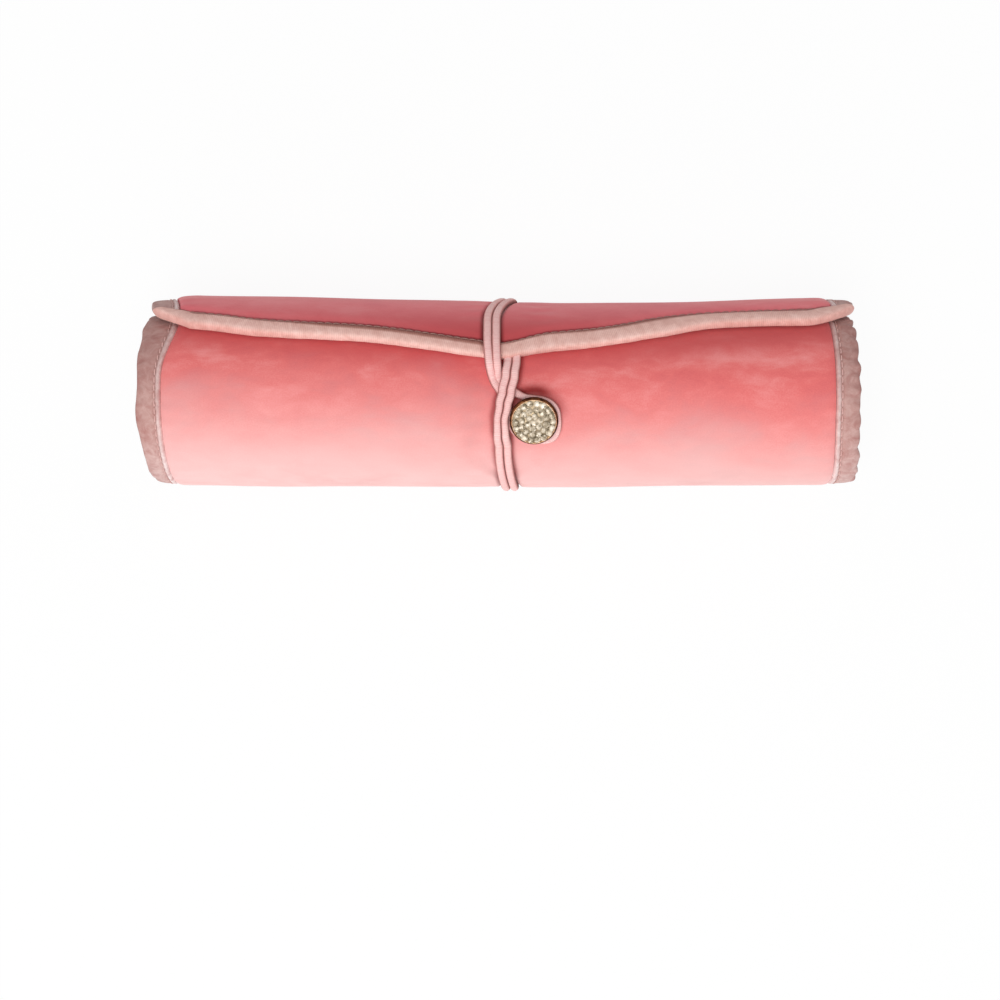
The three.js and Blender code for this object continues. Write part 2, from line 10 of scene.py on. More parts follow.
import bpy
import numpy as np
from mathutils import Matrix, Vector


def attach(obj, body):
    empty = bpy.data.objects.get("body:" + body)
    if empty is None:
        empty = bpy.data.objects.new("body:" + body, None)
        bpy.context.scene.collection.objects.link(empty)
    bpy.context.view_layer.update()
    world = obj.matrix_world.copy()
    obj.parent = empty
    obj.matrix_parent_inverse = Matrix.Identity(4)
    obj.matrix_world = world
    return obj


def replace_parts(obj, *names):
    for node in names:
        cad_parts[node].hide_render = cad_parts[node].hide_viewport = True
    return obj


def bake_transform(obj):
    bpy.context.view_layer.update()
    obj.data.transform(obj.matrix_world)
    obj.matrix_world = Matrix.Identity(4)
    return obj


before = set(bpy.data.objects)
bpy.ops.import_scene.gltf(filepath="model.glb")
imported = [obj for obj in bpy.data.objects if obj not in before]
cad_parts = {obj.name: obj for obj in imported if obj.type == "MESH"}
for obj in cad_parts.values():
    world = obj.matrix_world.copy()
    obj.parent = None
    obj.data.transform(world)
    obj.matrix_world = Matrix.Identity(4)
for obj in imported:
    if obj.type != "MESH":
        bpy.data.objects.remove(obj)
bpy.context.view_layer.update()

# %% [markdown]
# ## Camera, floor and light
# The photograph looks straight down on the roll from about two thirds of a metre, a little in front of
# it. A window-like lamp stands low on the button side, so the pile catches it along the near edge and
# the flap falls into half shade. A white backdrop picture would be simpler, but it takes no shadow. So
# the floor is a sheet of paper that is white to the eye and still takes a soft shadow.

# %% Camera
LENS = 68.4
SENSOR = 36
VIEW_PLACE = (0.0005, -0.0364, 0.66)
scene = bpy.context.scene
camera_data = bpy.data.cameras.new("camera")
camera_data.lens = LENS
camera_data.sensor_width = SENSOR
camera = bpy.data.objects.new("camera", camera_data)
camera.location = VIEW_PLACE
scene.collection.objects.link(camera)
scene.camera = camera
scene.view_settings.view_transform = "Standard"
print("the picture is", round(VIEW_PLACE[2] * SENSOR / LENS, 3), "m wide at the floor")


# %% Colours and nodes
def colour(code):
    """sRGB hex to linear light, by the standard curve for each channel."""
    values = np.array([int(code[i : i + 2], 16) for i in (1, 3, 5)]) / 255
    light = np.where(values <= 0.04045, values / 12.92, ((values + 0.055) / 1.055) ** 2.4)
    return (*light, 1.0)


def add(tree, kind, inputs, stops=(), out=0, **settings):
    """Adds one node and gives back one of its outputs, if it has any.

    Inputs are values, or the sockets that feed it. Stops are places and colours of a colour ramp. Other
    settings go to the node's properties.
    """
    made = tree.nodes.new("ShaderNode" + kind)
    for name, value in settings.items():
        setattr(made, name, value)
    for socket, value in inputs.items():
        if isinstance(value, bpy.types.NodeSocket):
            tree.links.new(value, made.inputs[socket])
        else:
            made.inputs[socket].default_value = value
    for _ in stops[2:]:
        made.color_ramp.elements.new(0.5)
    for i, (at, code) in enumerate(stops):
        made.color_ramp.elements[i].position = at
        made.color_ramp.elements[i].color = colour(code)
    return made.outputs[out] if len(made.outputs) else None


# %% Materials
def new_material(name):
    """A material with an empty node tree, and that tree."""
    material = bpy.data.materials.new(name)
    material.use_nodes = True
    material.node_tree.nodes.clear()
    return material, material.node_tree


def finish(material, look):
    """Gives a material one shader with this look, and its output."""
    tree = material.node_tree
    add(tree, "OutputMaterial", {"Surface": add(tree, "BsdfPrincipled", look)})
    print(material.name, len(tree.nodes), "nodes")


def seen_directly(tree):
    """1 for rays from the eye, also by way of metal or glass, and 0 for light on its way to the roll."""
    seen = add(tree, "LightPath", {}, out="Is Camera Ray")
    for ray in ("Is Glossy Ray", "Is Transmission Ray"):
        seen = add(tree, "Math", {0: seen, 1: add(tree, "LightPath", {}, out=ray)}, operation="MAXIMUM")
    return seen


# %% Floor
PAPER_GLOW = 0.93
FLOOR_HALF = 3.0
# Matte white paper. To the eye it mostly glows, and the rest is paper that takes the shadow.
white_paper, tree = new_material("white_paper")
share = add(tree, "Math", {0: seen_directly(tree), 1: PAPER_GLOW}, operation="MULTIPLY")
paper = add(tree, "BsdfDiffuse", {"Color": colour("#f6f6f6")})
glow = add(tree, "Emission", {"Color": colour("#ffffff"), "Strength": 1.0})
add(tree, "OutputMaterial", {"Surface": add(tree, "MixShader", {0: share, 1: paper, 2: glow})})

floor_mesh = bpy.data.meshes.new("floor")
corners = [(x * FLOOR_HALF, y * FLOOR_HALF, 0) for x, y in ((-1, -1), (1, -1), (1, 1), (-1, 1))]
floor_mesh.from_pydata(corners, [], [(0, 1, 2, 3)])
floor_mesh.materials.append(white_paper)
floor = bpy.data.objects.new("floor", floor_mesh)
scene.collection.objects.link(floor)
print("floor", 2 * FLOOR_HALF, "m wide")

# %% World and lamps
AMBIENT = 0.46
world = bpy.data.worlds.new("studio")
scene.world = world
world.use_nodes = True
tree = world.node_tree
tree.nodes.clear()
strength = add(tree, "MapRange", {"Value": seen_directly(tree), "To Min": AMBIENT, "To Max": 1.0})
sky = add(tree, "Background", {"Color": colour("#ffffff"), "Strength": strength})
add(tree, "OutputWorld", {"Surface": sky})


def lamp(name, place, aim, size, power):
    """A square soft lamp at a place, turned so that it faces the aim point."""
    data = bpy.data.lights.new(name, "AREA")
    data.size = size
    data.energy = power
    made = bpy.data.objects.new(name, data)
    made.location = place
    direction = Vector(aim) - Vector(place)
    made.rotation_mode = "QUATERNION"
    made.rotation_quaternion = direction.to_track_quat("-Z", "Y")
    scene.collection.objects.link(made)
    print("lamp", name, round(direction.length, 2), "m away")


lamp("window", (-0.1, -1.0, 0.45), (0, 0, 0.02), 0.6, 2.6)
lamp("overhead", (-0.15, -0.4, 1.25), (0, 0, 0), 0.7, 9.5)

# %% [markdown]
# ## The spiral
# Angles run round the roll from the top towards the back, and carry on past a full turn as the sheet
# winds inwards. The velvet face is a spiral that loses one sheet's pitch in each turn. Three things
# change it: the elastic draws a waist into it, the floor flattens it, and the pull of the elastic dips
# the whole roll a little at its back. A cloth simulation could roll up a flat sheet, but a formula puts
# every layer at a known depth. Sizes here are millimetres and degrees.

# %% Sizes of the rolled sheet
# One millimetre in metres.
MM = 0.001
HALF_LENGTH = 115.0
VELVET_HALF = 107.0
FLAP_RADIUS = 33.5
PITCH = 5.1
FLAP_POINT = 17.0
FLAT_DEPTH = 1.2
VELVET_THICK = 3.6
LINING_TOP = 3.9
LINING_FOOT = 4.6
CLEAR = 0.3
PANELS = ["flap", "back", "base", "front_low", "front_high", "crown", "tuck_1", "tuck_2", "tuck_3"]
FIRST_FOLD = 96.0
FOLD_STEP = 56.0
FOLD_COUNT = len(PANELS) - 1
FOLDS = FIRST_FOLD + FOLD_STEP * np.arange(FOLD_COUNT)
INNER_END = FIRST_FOLD + FOLD_STEP * FOLD_COUNT
# The visible sheet is cut where the panels are stiff, at their middles, and bends between them.
LENGTHS = range(FOLD_COUNT)
LAST = LENGTHS[-1]
CUTS = [None, *(FOLDS[:-1] + FOLD_STEP / 2).tolist(), INNER_END]
# Where each cut length would start and stop to turn, staying stiff under the zips, the button and the
# bar. Only bend reads these angles, and it bends nothing.
TURNS = [(70, 119), (129, 175), (185, 231), (241, 265.5), (297, 328), (358, 399), (432.5, 455), (465, 497)]
print("panels", len(PANELS), "cut lengths", len(LENGTHS))


# %% Spiral
def smooth(t):
    """0 below 0, 1 above 1, and the smooth cubic step between them."""
    t = np.clip(t, 0, 1)
    return t * t * (3 - 2 * t)


def bell(x, middle, width):
    """A hump: 1 at its middle, and e to the minus square of the distance in widths beside it."""
    return np.exp(-(((x - middle) / width) ** 2))


def turn_radius(a):
    """The spiral: the flap's radius, less one pitch for each full turn past the flap's point."""
    return FLAP_RADIUS - PITCH * (a - FLAP_POINT) / 360


def along(a):
    """Distance along the sheet from the flap's point: the integral of the spiral's radius."""
    t = np.radians(a - FLAP_POINT)
    return FLAP_RADIUS * t - PITCH / (4 * np.pi) * t**2


def angle_at(s):
    """The angle at a distance along the sheet: the root of the quadratic that gives the distance."""
    bow = PITCH / (4 * np.pi)
    return FLAP_POINT + np.degrees((FLAP_RADIUS - np.sqrt(FLAP_RADIUS**2 - 4 * bow * s)) / (2 * bow))


def arc(length, a):
    """The angle that a length along the sheet takes up at an angle."""
    return np.degrees(length / turn_radius(a))


AXIS_HEIGHT = turn_radius(180) - FLAT_DEPTH
AXIS_Y = (turn_radius(270) - turn_radius(90)) / 2
print("axis", AXIS_Y, AXIS_HEIGHT, "sheet length", along(INNER_END))

# %% Groove under the elastic
STRAND = 2.8
SQUASHED = 1.4
WAIST_X = 2.0
WAIST_DEPTH = 1.8
BUTTON_X = 11.2
BUTTON_ANGLE = 342.0
# Distances from the button are measured round the roll at this radius on the velvet.
NEAR_BUTTON = 31
PAIR_END = -0.75
# The middle of the doubled elastic: its place along the roll, in strands, at angles that go down the
# front, under the roll and up the back.
PAIR_ANGLE = np.array([25, 17, 8, -2, -9, -18, -26, -38, -96, -180, -264, -316, -345.0])
PAIR_STRANDS = [1.6, 1.54, 1.33, 0.93, 0.58, 0.28, 0.33, 0.55, 1.44, 1.4, 1.3, PAIR_END, PAIR_END]
PAIR_X = STRAND * np.array(PAIR_STRANDS)


def eased(at, stops, values):
    """Values between stops, with a smooth step from each stop to the next. The stops fall."""
    k = np.clip(np.searchsorted(-stops, -at, side="right") - 1, 0, len(stops) - 2)
    share = smooth((stops[k] - at) / (stops[k] - stops[k + 1]))
    return values[k] + share * (values[k + 1] - values[k])


def waist(x, a):
    """1 under the elastic and 0 beside it: a narrow groove that widens where the strands cross."""
    wide = smooth((a - 290) / 25)
    middle = eased(a - 360, PAIR_ANGLE, PAIR_X)
    middle = middle + wide * (WAIST_X - middle)
    bottom, bank = 1.5 + 5.0 * wide, 2.6 + 6.9 * wide
    across = 1 - smooth((np.abs(x - middle) - bottom) / bank)
    return across * (1 - smooth((a - 364) / 24))


def elastic_shade(x, a):
    """Painted shade on the velvet, up to 1: within 2 mm of the elastic pair, and above the loop."""
    middle = eased(a - 360, PAIR_ANGLE, PAIR_X)
    beside = bell(np.abs(x - middle), STRAND, 0.9)
    right = x - BUTTON_X
    from_button = np.hypot(right, np.radians(a - BUTTON_ANGLE) * NEAR_BUTTON)
    above_loop = bell(from_button, 9.4, 1.9) * smooth((a - 336) / 14) * (1 - 0.6 * smooth((right - 2) / 5))
    return np.maximum(0.7 * beside, above_loop) * (1 - smooth((a - 376) / 20))


print("the elastic keeps within", PAIR_X.min(), "and", PAIR_X.max(), "mm of the middle")

# %% How the roll sits
LAST_OUTER = 300
STEEPEST = 0.3
FLOOR_GAP = 0.05
OUTER_RADIUS = 32
BACK_ANGLE = 82
FRONT_ANGLE = 275
BACK_DIP = 2.5
BACK_DIP_X = 25


def on_floor(r, a, gap):
    """A radius cut back where the outer turn would reach into the floor, or come within a gap of it."""
    down = np.cos(np.radians(a - 180))
    floor_radius = (AXIS_HEIGHT - gap) / np.maximum(down, STEEPEST)
    return np.where((a < LAST_OUTER) & (down > STEEPEST), np.minimum(r, floor_radius), r)


def face_radius(x, a):
    """The spiral less the waist, and no lower than the floor, or than the squashed elastic on it."""
    share = waist(x, a)
    return on_floor(turn_radius(a) - WAIST_DEPTH * share, a, share * (SQUASHED + CLEAR + 0.2))


def settle(x, a):
    """How the soft roll sits: its back is drawn in right of the middle, and its front and back are full."""
    back = np.maximum(0, np.cos(np.radians(a - BACK_ANGLE))) ** 1.5
    front = np.maximum(0, np.cos(np.radians(a - FRONT_ANGLE))) ** 2
    dip = BACK_DIP * bell(x, BACK_DIP_X, np.where(x < BACK_DIP_X, 70, 80))
    left_end = 0.8 * smooth((-98 - x) / 12)
    return (0.1 - dip - left_end) * back + (0.5 + 0.6 * bell(x, 0, 60)) * front


def place(x, a, r):
    """A point in metres from its place along the roll, its angle and its radius, settled by its depth."""
    x, a, r = np.broadcast_arrays(np.asarray(x, float), a, r)
    r = r + settle(x, a) * (r / OUTER_RADIUS) ** 2
    t = np.radians(a)
    return np.stack([x, AXIS_Y + r * np.sin(t), AXIS_HEIGHT + r * np.cos(t)], -1) * MM


def path_on_roll(x, a, r):
    """The points of a path, and the directions straight out of the roll along it."""
    path = place(x, a, r)
    return path, place(x, a, r + 1) - path


print("the back is drawn in by", round(-float(settle(BACK_DIP_X, BACK_ANGLE)), 2), "mm at most")

# %% Flap
FLAP_CORNER = 42.0
# Lengths become angles as they do here, on the edge and at the corners.
EDGE_ANGLE = 30.0
CORNER_ANGLE = 45.0
FLAP_TAPE = 6.1
TAPE_WIDTH = 5.4
# How much of each corner is cut off, along the roll and along the sheet.
LEFT_CORNER, RIGHT_CORNER = 12.0, 16.0
LEFT_RISE, RIGHT_RISE = 10.0, 11.0
CORNER_POWER = 1.35


def flap_edge(x):
    """The flap's edge: straight from its point to its corners, drawn up on both sides, corners cut off."""
    straight = FLAP_POINT + (FLAP_CORNER - FLAP_POINT) * np.abs(x) / HALF_LENGTH
    left = 4.0 * bell(x, -42, 28) + 2.2 * smooth((-78 - x) / 20)
    right = 9.3 * bell(x, 66, 38) + 2.2 * bell(x, 14, 12) + 3.4 * smooth((x - 50) / 20)
    reach = np.where(x < 0, LEFT_CORNER, RIGHT_CORNER)
    rise = np.where(x < 0, LEFT_RISE, RIGHT_RISE)
    share = np.clip((np.abs(x) - HALF_LENGTH + reach) / reach, 0, 1)
    cut_off = rise * (1 - (1 - share**CORNER_POWER) ** (1 / CORNER_POWER))
    return straight + left + right + arc(cut_off, CORNER_ANGLE)


def tape_width(x):
    """The flap's tape: 6 mm on the left, up to 8.6 mm right of the elastic, less at the right corner."""
    wider = 1.4 * smooth((x - 2) / 14) + 1.1 * bell(x, 52, 9)
    return FLAP_TAPE + wider - 0.8 * smooth((x - 55) / 20)


def flap_seam(x):
    """Where the velvet of the flap meets its tape: one tape's width and a hair in from the edge."""
    return flap_edge(x) + arc(tape_width(x) + CLEAR, EDGE_ANGLE)


def skew(x, a):
    """How far cloth lies to the right: the flap draws in at its left corner, the low front lies over."""
    flap = (2.15 - 1.75 * x / HALF_LENGTH + 0.8 * smooth((x - 60) / 40)) * smooth((100 - a) / 60)
    low = smooth((345 - a) / 70) * smooth((a - 120) / 60) * smooth((np.abs(x) - 30) / 60)
    under_flap = smooth((a - 368) / 44) * smooth((470 - a) / 40)
    # The left seam bows: its ribbon is wider up at the flap and narrower low down.
    seam = bell(x, -VELVET_HALF, 5.5)
    return flap + 2.0 * low + seam * (3.7 * under_flap - 1.2 * low + 1.4 * smooth((100 - a) / 40))


print("flap's edge at left, point and right, degrees:", flap_edge(np.array([-HALF_LENGTH, 0, HALF_LENGTH])))

# %% [markdown]
# ## Arrays into meshes
# Two kinds of part are enough. A shell is a thin solid between an upper and a lower grid of points. A
# skin is a row of closed rings. Curves and modifiers could make some of them, but whole arrays keep the
# points where the formulas put them. Each point also keeps its place on the flat cloth, in millimetres,
# so that naps and weaves follow the cloth and not the room.


# %% Shells and skins
def unit(vectors):
    """Vectors divided by their lengths."""
    return vectors / np.maximum(np.linalg.norm(vectors, axis=-1, keepdims=True), 1e-12)


def normals_of(grid):
    """Unit normals of a grid of points: the cross product of its two gradients."""
    return unit(np.cross(np.gradient(grid, axis=0), np.gradient(grid, axis=1)))


def cloth_marks(x, s, depth):
    """Places on the flat cloth: along the roll, along the sheet, and through it, or for velvet its painted
    shade.
    """
    return np.stack(np.broadcast_arrays(x, s, depth), -1).astype(float)


def part_of(points, faces, cloth, normals):
    """A part of a mesh: rows of points, cloth places and normals, where there are any, and its faces."""
    rows = [None if v is None else v.reshape(-1, 3) for v in (points, cloth, normals)]
    return {"points": rows[0], "faces": faces, "cloth": rows[1], "normals": rows[2]}


def shell(top, bottom, cloth, normals=None):
    """The top grid, the bottom grid turned over, and walls of quads between their rims."""
    rows, cols = top.shape[:2]
    count = rows * cols
    index = np.arange(count).reshape(rows, cols)
    quads = np.stack([index[:-1, :-1], index[1:, :-1], index[1:, 1:], index[:-1, 1:]], -1).reshape(-1, 4)
    rim = np.concatenate([index[0, :-1], index[:-1, -1], index[-1, :0:-1], index[:0:-1, 0]])
    after = np.roll(rim, -1)
    wall = np.stack([rim, after, after + count, rim + count], -1)
    both = None if normals is None else np.stack([normals, -normals])
    faces = [quads, quads[:, ::-1] + count, wall]
    return part_of(np.stack([top, bottom]), faces, np.stack([cloth, cloth]), both)


def skin(rings, cloth, normals=None):
    """Closed rings joined in order, with a flat cap on the first and on the last."""
    count, sides = rings.shape[:2]
    index = np.arange(count * sides).reshape(count, sides)
    beside = np.roll(index, -1, 1)
    quads = np.stack([index[:-1], index[1:], beside[1:], beside[:-1]], -1).reshape(-1, 4)
    return part_of(rings, [quads, np.stack([index[0], index[-1][::-1]])], cloth, normals)


def skins(rings, cloth, normals=None):
    """Many equal skins at once: the same faces, counted on for each copy."""
    copies, count, sides = rings.shape[:3]
    shift = (np.arange(copies) * count * sides)[:, None, None]
    faces = [(f[None] + shift).reshape(-1, f.shape[1]) for f in skin(rings[0], cloth[0])["faces"]]
    return part_of(rings, faces, cloth, normals)


# %% Pieces
def outward(part):
    """The part with its faces turned outwards: a negative signed volume means that they point in."""
    volume = 0.0
    for faces in part["faces"]:
        a = part["points"][faces[:, 0]]
        for i in range(1, faces.shape[1] - 1):
            b, c = part["points"][faces[:, i]], part["points"][faces[:, i + 1]]
            volume += np.einsum("ij,ij->", a, np.cross(b, c))
    if volume < 0:
        part["faces"] = [f[:, ::-1] for f in part["faces"]]
    return part


def piece(name, parts, materials, sharp=None):
    """One object from parts, each with the material of its place in the list. Its place is in its mesh."""
    parts = [outward(p) for p in parts]
    start = np.cumsum([0] + [len(p["points"]) for p in parts])
    blocks = [(f + start[i], i) for i, p in enumerate(parts) for f in p["faces"]]
    loops = np.concatenate([f.ravel() for f, _ in blocks])
    sizes = np.concatenate([np.full(len(f), f.shape[1]) for f, _ in blocks])
    kinds = list(dict.fromkeys(materials))
    slots = np.concatenate([np.full(len(f), kinds.index(materials[i])) for f, i in blocks])
    points = np.concatenate([p["points"] for p in parts])
    cloth = np.concatenate([p["cloth"] for p in parts])
    mesh = bpy.data.meshes.new(name)
    mesh.vertices.add(start[-1])
    mesh.vertices.foreach_set("co", points.astype(np.float32).ravel())
    mesh.loops.add(len(loops))
    mesh.loops.foreach_set("vertex_index", loops.astype(np.int32))
    mesh.polygons.add(len(sizes))
    mesh.polygons.foreach_set("loop_start", (np.cumsum(sizes) - sizes).astype(np.int32))
    mesh.polygons.foreach_set("use_smooth", np.ones(len(sizes), bool))
    for material in kinds:
        mesh.materials.append(material)
    mesh.polygons.foreach_set("material_index", slots.astype(np.int32))
    mesh.update(calc_edges=True)
    mesh.validate()
    attribute = mesh.attributes.new("cloth", "FLOAT_VECTOR", "POINT")
    attribute.data.foreach_set("vector", cloth.astype(np.float32).ravel())
    if sharp is not None:
        mesh.set_sharp_from_angle(angle=math.radians(sharp))
    elif all(p["normals"] is not None for p in parts):
        given = np.concatenate([p["normals"] for p in parts])
        mesh.normals_split_custom_set_from_vertices(given.astype(np.float32))
    made = bpy.data.objects.new(name, mesh)
    scene.collection.objects.link(made)
    return made


# %% [markdown]
# ## Cloth finishes
# Each finish starts from the real material. Velvet is a short cut pile: it is matte seen head on, pale
# where the pile is lit from the side, and cloudy where it was brushed. Here the pale side light, and some
# shade, are painted into the velvet's colour. Satin is smooth and soft-shiny.
# The ribbon is a matte weave, and the tape has cross ribs. Hair could make the pile and pictures the
# weaves. Noises and waves that read the cloth place in millimetres give the same look at this distance.

# %% Velvet pile
velvet, tree = new_material("cut_pile_velvet")
spot = add(tree, "Attribute", {}, out="Vector", attribute_name="cloth")
spot_x, spot_y, spot_z = (add(tree, "SeparateXYZ", {0: spot}, out=axis) for axis in "XYZ")
# Brushed clouds are about 22 mm across and 40 mm along the roll, with streaks of 6 by 11 mm in them.
stretched = add(tree, "VectorMath", {0: spot, 1: (0.55, 1.0, 0.0)}, operation="MULTIPLY")
brushed = {"Vector": stretched, "Detail": 4.0, "Roughness": 0.6}
clouds = add(tree, "TexNoise", {**brushed, "Scale": 0.045, "Distortion": 0.5}, out="Fac")
streaks = add(tree, "TexNoise", {**brushed, "Scale": 0.16, "Distortion": 0.3}, out="Fac")
# Pile tufts are 0.1 mm on the real cloth. They are drawn 0.5 mm wide, so that they show.
tufts = add(tree, "TexNoise", {"Vector": spot, "Scale": 2.0, "Detail": 2.0, "Roughness": 0.6}, out="Fac")
cloudy = add(tree, "Mix", {0: 0.42, 2: clouds, 3: streaks}, data_type="FLOAT")
cloudy = add(tree, "Mix", {0: 0.14, 2: cloudy, 3: tufts}, data_type="FLOAT")
pile = add(tree, "ValToRGB", {"Fac": cloudy}, [(0.36, "#d96063"), (0.5, "#e87775"), (0.65, "#f29997")])
# Pale tones for the painted sheen on the low front.
painted_sheen_pile = add(tree, "ValToRGB", {"Fac": cloudy}, [(0.36, "#edbfbc"), (0.65, "#f8d4d1")])
print("pile of the velvet:", len(tree.nodes), "nodes")

# %% Velvet tones by place: painted shade and sheen
# Painted shade and sheen on the pile: a place on the cloth, where the tone starts, where it is full, and
# how full. Just below the flap's edge a deep band is the flap's painted shadow. On the flap a cooler pink
# is painted sheen, where the light strikes along the pile. Towards the flap's point, next to its tape, a
# deep tone is painted shade.
EDGE_AT, EDGE_SLOPE = float(along(FLAP_POINT + 360)), 0.1
aside = add(tree, "Math", {0: spot_x}, operation="ABSOLUTE")
below = add(tree, "Math", {0: aside, 1: -EDGE_SLOPE, 2: spot_y}, operation="MULTIPLY_ADD")
for where, first, full, most, code in (
    (below, EDGE_AT - 8, EDGE_AT + 3, 0.75, "#cb5557"),
    (spot_y, 90.0, 50.0, 0.42, "#ee8897"),
    (spot_y, 28.0, 7.0, 0.9, "#bb494c"),
):
    limits = {"Value": where, "From Min": first, "From Max": full, "To Max": most}
    share = add(tree, "MapRange", limits, interpolation_type="SMOOTHSTEP")
    pile = add(tree, "Mix", {0: share, 6: pile, 7: colour(code)}, out=2, data_type="RGBA")
print("deep band below the flap's edge: about", round(EDGE_AT), "mm along the sheet")

# %% Velvet finish
# The front of the roll is painted pale, as sheen where the low lamp catches the pile, with cloudy edges.
CLOUD_DRIFT, STREAK_DRIFT, SLANT = 46.0, 16.0, 0.06
drift = spot_y
for source, reach in ((clouds, CLOUD_DRIFT), (streaks, STREAK_DRIFT), (spot_x, SLANT)):
    drift = add(tree, "Math", {0: source, 1: reach, 2: drift}, operation="MULTIPLY_ADD")
shares = []
for first, full, most in ((378.0, 278.0, 0.9), (195.0, 250.0, 1.0)):
    first, full = (float(along(a)) + (CLOUD_DRIFT + STREAK_DRIFT) / 2 for a in (first, full))
    limits = {"Value": drift, "From Min": first, "From Max": full, "To Max": most}
    shares.append(add(tree, "MapRange", limits, interpolation_type="SMOOTHSTEP"))
painted_sheen_share = add(tree, "Math", dict(enumerate(shares)), operation="MULTIPLY")
pile = add(tree, "Mix", {0: painted_sheen_share, 6: pile, 7: painted_sheen_pile}, out=2, data_type="RGBA")

# The third value of the velvet's cloth place says how much painted shade lies beside the elastic
# and above its loop.
shade_by_elastic = add(tree, "Math", {0: spot_z, 1: 0.95}, operation="MULTIPLY")
shade = {0: shade_by_elastic, 6: pile, 7: colour("#a05c5c")}
pile = add(tree, "Mix", shade, out=2, data_type="RGBA", blend_type="MULTIPLY")
look = {
    "Base Color": pile,
    "Roughness": 0.95,
    "Specular IOR Level": 0.1,
    "Sheen Weight": 0.45,
    "Sheen Roughness": 0.4,
    "Sheen Tint": colour("#ffd8d6"),
    "Normal": add(tree, "Bump", {"Strength": 0.3, "Distance": 0.0002, "Height": tufts}),
}
finish(velvet, look)

# %% Satin finish
# Long floats of thread make satin glossy; tones about 17 mm broad are its painted sheen where it ripples.
satin, tree = new_material("blush_satin")
spot = add(tree, "Attribute", {}, out="Vector", attribute_name="cloth")
ripples = {"Vector": spot, "Scale": 0.06, "Detail": 3.0, "Roughness": 0.5, "Distortion": 1.0}
ripples = add(tree, "TexNoise", ripples, out="Fac")
# Satin floats are 0.2 mm apart. They are drawn as 0.6 mm lines along the roll.
floats = {"Vector": spot, "Scale": 0.5, "Distortion": 0.6, "Detail": 1.0}
floats = add(tree, "TexWave", floats, out="Fac", bands_direction="Y")
look = {
    "Base Color": add(tree, "ValToRGB", {"Fac": ripples}, [(0.3, "#e3b1a8"), (0.7, "#f3cfc6")]),
    "Roughness": 0.38,
    "Sheen Weight": 0.2,
    "Sheen Roughness": 0.3,
    "Normal": add(tree, "Bump", {"Strength": 0.12, "Distance": 0.0002, "Height": floats}),
}
finish(satin, look)

# %% Woven finish
MULTIPLIED = {"data_type": "RGBA", "blend_type": "MULTIPLY"}


def woven(name, dark, light, blotch, pitch, axis, relief, bands=()):
    """A matte weave: blotches one over a scale wide, ribs at a pitch along an axis, and bands across it."""
    material, tree = new_material(name)
    spot = add(tree, "Attribute", {}, out="Vector", attribute_name="cloth")
    uneven = {"Vector": spot, "Scale": blotch, "Detail": 6.0, "Roughness": 0.65, "Distortion": 0.5}
    uneven = add(tree, "TexNoise", uneven, out="Fac")
    shown = add(tree, "ValToRGB", {"Fac": uneven}, [(0.34, dark), (0.66, light)])
    for socket, stops in bands:
        across = add(tree, "SeparateXYZ", {0: spot}, out=socket)
        across = add(tree, "Math", {0: across}, operation="ABSOLUTE")
        low, high = stops[0][0], stops[-1][0]
        share = add(tree, "MapRange", {"Value": across, "From Min": low, "From Max": high})
        stripes = [((at - low) / (high - low), code) for at, code in stops]
        stripe = add(tree, "ValToRGB", {"Fac": share}, stripes)
        shown = add(tree, "Mix", {0: 1.0, 6: shown, 7: stripe}, out=2, **MULTIPLIED)
    # A wave texture turns by twenty radians in each unit of its scale.
    ribs = {"Vector": spot, "Scale": 2 * math.pi / 20 / pitch, "Distortion": 0.8, "Detail": 2.0}
    ribs = add(tree, "TexWave", ribs, out="Fac", bands_direction=axis)
    depth = add(tree, "MapRange", {"Value": ribs, "To Min": 0.22, "To Max": 0.0})
    look = {
        "Base Color": add(tree, "Mix", {0: depth, 6: shown, 7: colour("#b9a3a0")}, out=2, **MULTIPLIED),
        "Roughness": 0.85,
        "Specular IOR Level": 0.2,
        "Sheen Weight": 0.12,
        "Sheen Roughness": 0.4,
        "Normal": add(tree, "Bump", {"Strength": 0.4, "Distance": relief, "Height": ribs}),
    }
    finish(material, look)
    return material


# %% Ribbon and tape finishes
# Side ribbon: dull mauve with threads 0.35 mm apart, darker beside its pale welt. Round the roll it is
# painted lighter and darker as the lamp falls on it: palest low in front, and pale on the flap. The
# first bands go across the ribbon, the second ones round the roll.
welt_bands = [
    (107.0, "#ffffff"),
    (108.5, "#ffffff"),
    (109.0, "#d0b9b5"),
    (109.8, "#e2cfcb"),
    (112.0, "#e0cdc9"),
    (115.5, "#d8c3bf"),
]
round_light_bands = [
    (0.0, "#f4f0ef"),
    (24.0, "#f4f0ef"),
    (52.0, "#e6dad7"),
    (112.0, "#e6dad7"),
    (138.0, "#ffffff"),
    (150.0, "#ffffff"),
    (176.0, "#ecdfdc"),
    (200.0, "#e4d5d2"),
    (280.0, "#e4d5d2"),
]
ribbon_bands = [("X", welt_bands), ("Y", round_light_bands)]
side_ribbon = woven("mauve_ribbon", "#e0bbb8", "#fff1ef", 0.3, 0.35, "Y", 0.0001, ribbon_bands)
# Flap tape: paler, with cross ribs 0.6 mm apart, pinker at its free edge, and with brown painted shade
# along its stitched edge.
tape_bands_and_shade = [(0.0, "#f6ded9"), (0.9, "#fff6f2"), (4.0, "#f8ebe6"), (4.7, "#bc9b93"), (5.4, "#a07f77")]
edge_tape = woven("ribbed_tape", "#ecc1b9", "#ffddd6", 0.35, 0.6, "X", 0.0002, [("Y", tape_bands_and_shade)])
# Zip tape: a firm, darker weave with ribs 0.6 mm apart along the zip.
zip_cloth = woven("zip_tape", "#c08f89", "#d9aca6", 0.3, 0.6, "Y", 0.0002)

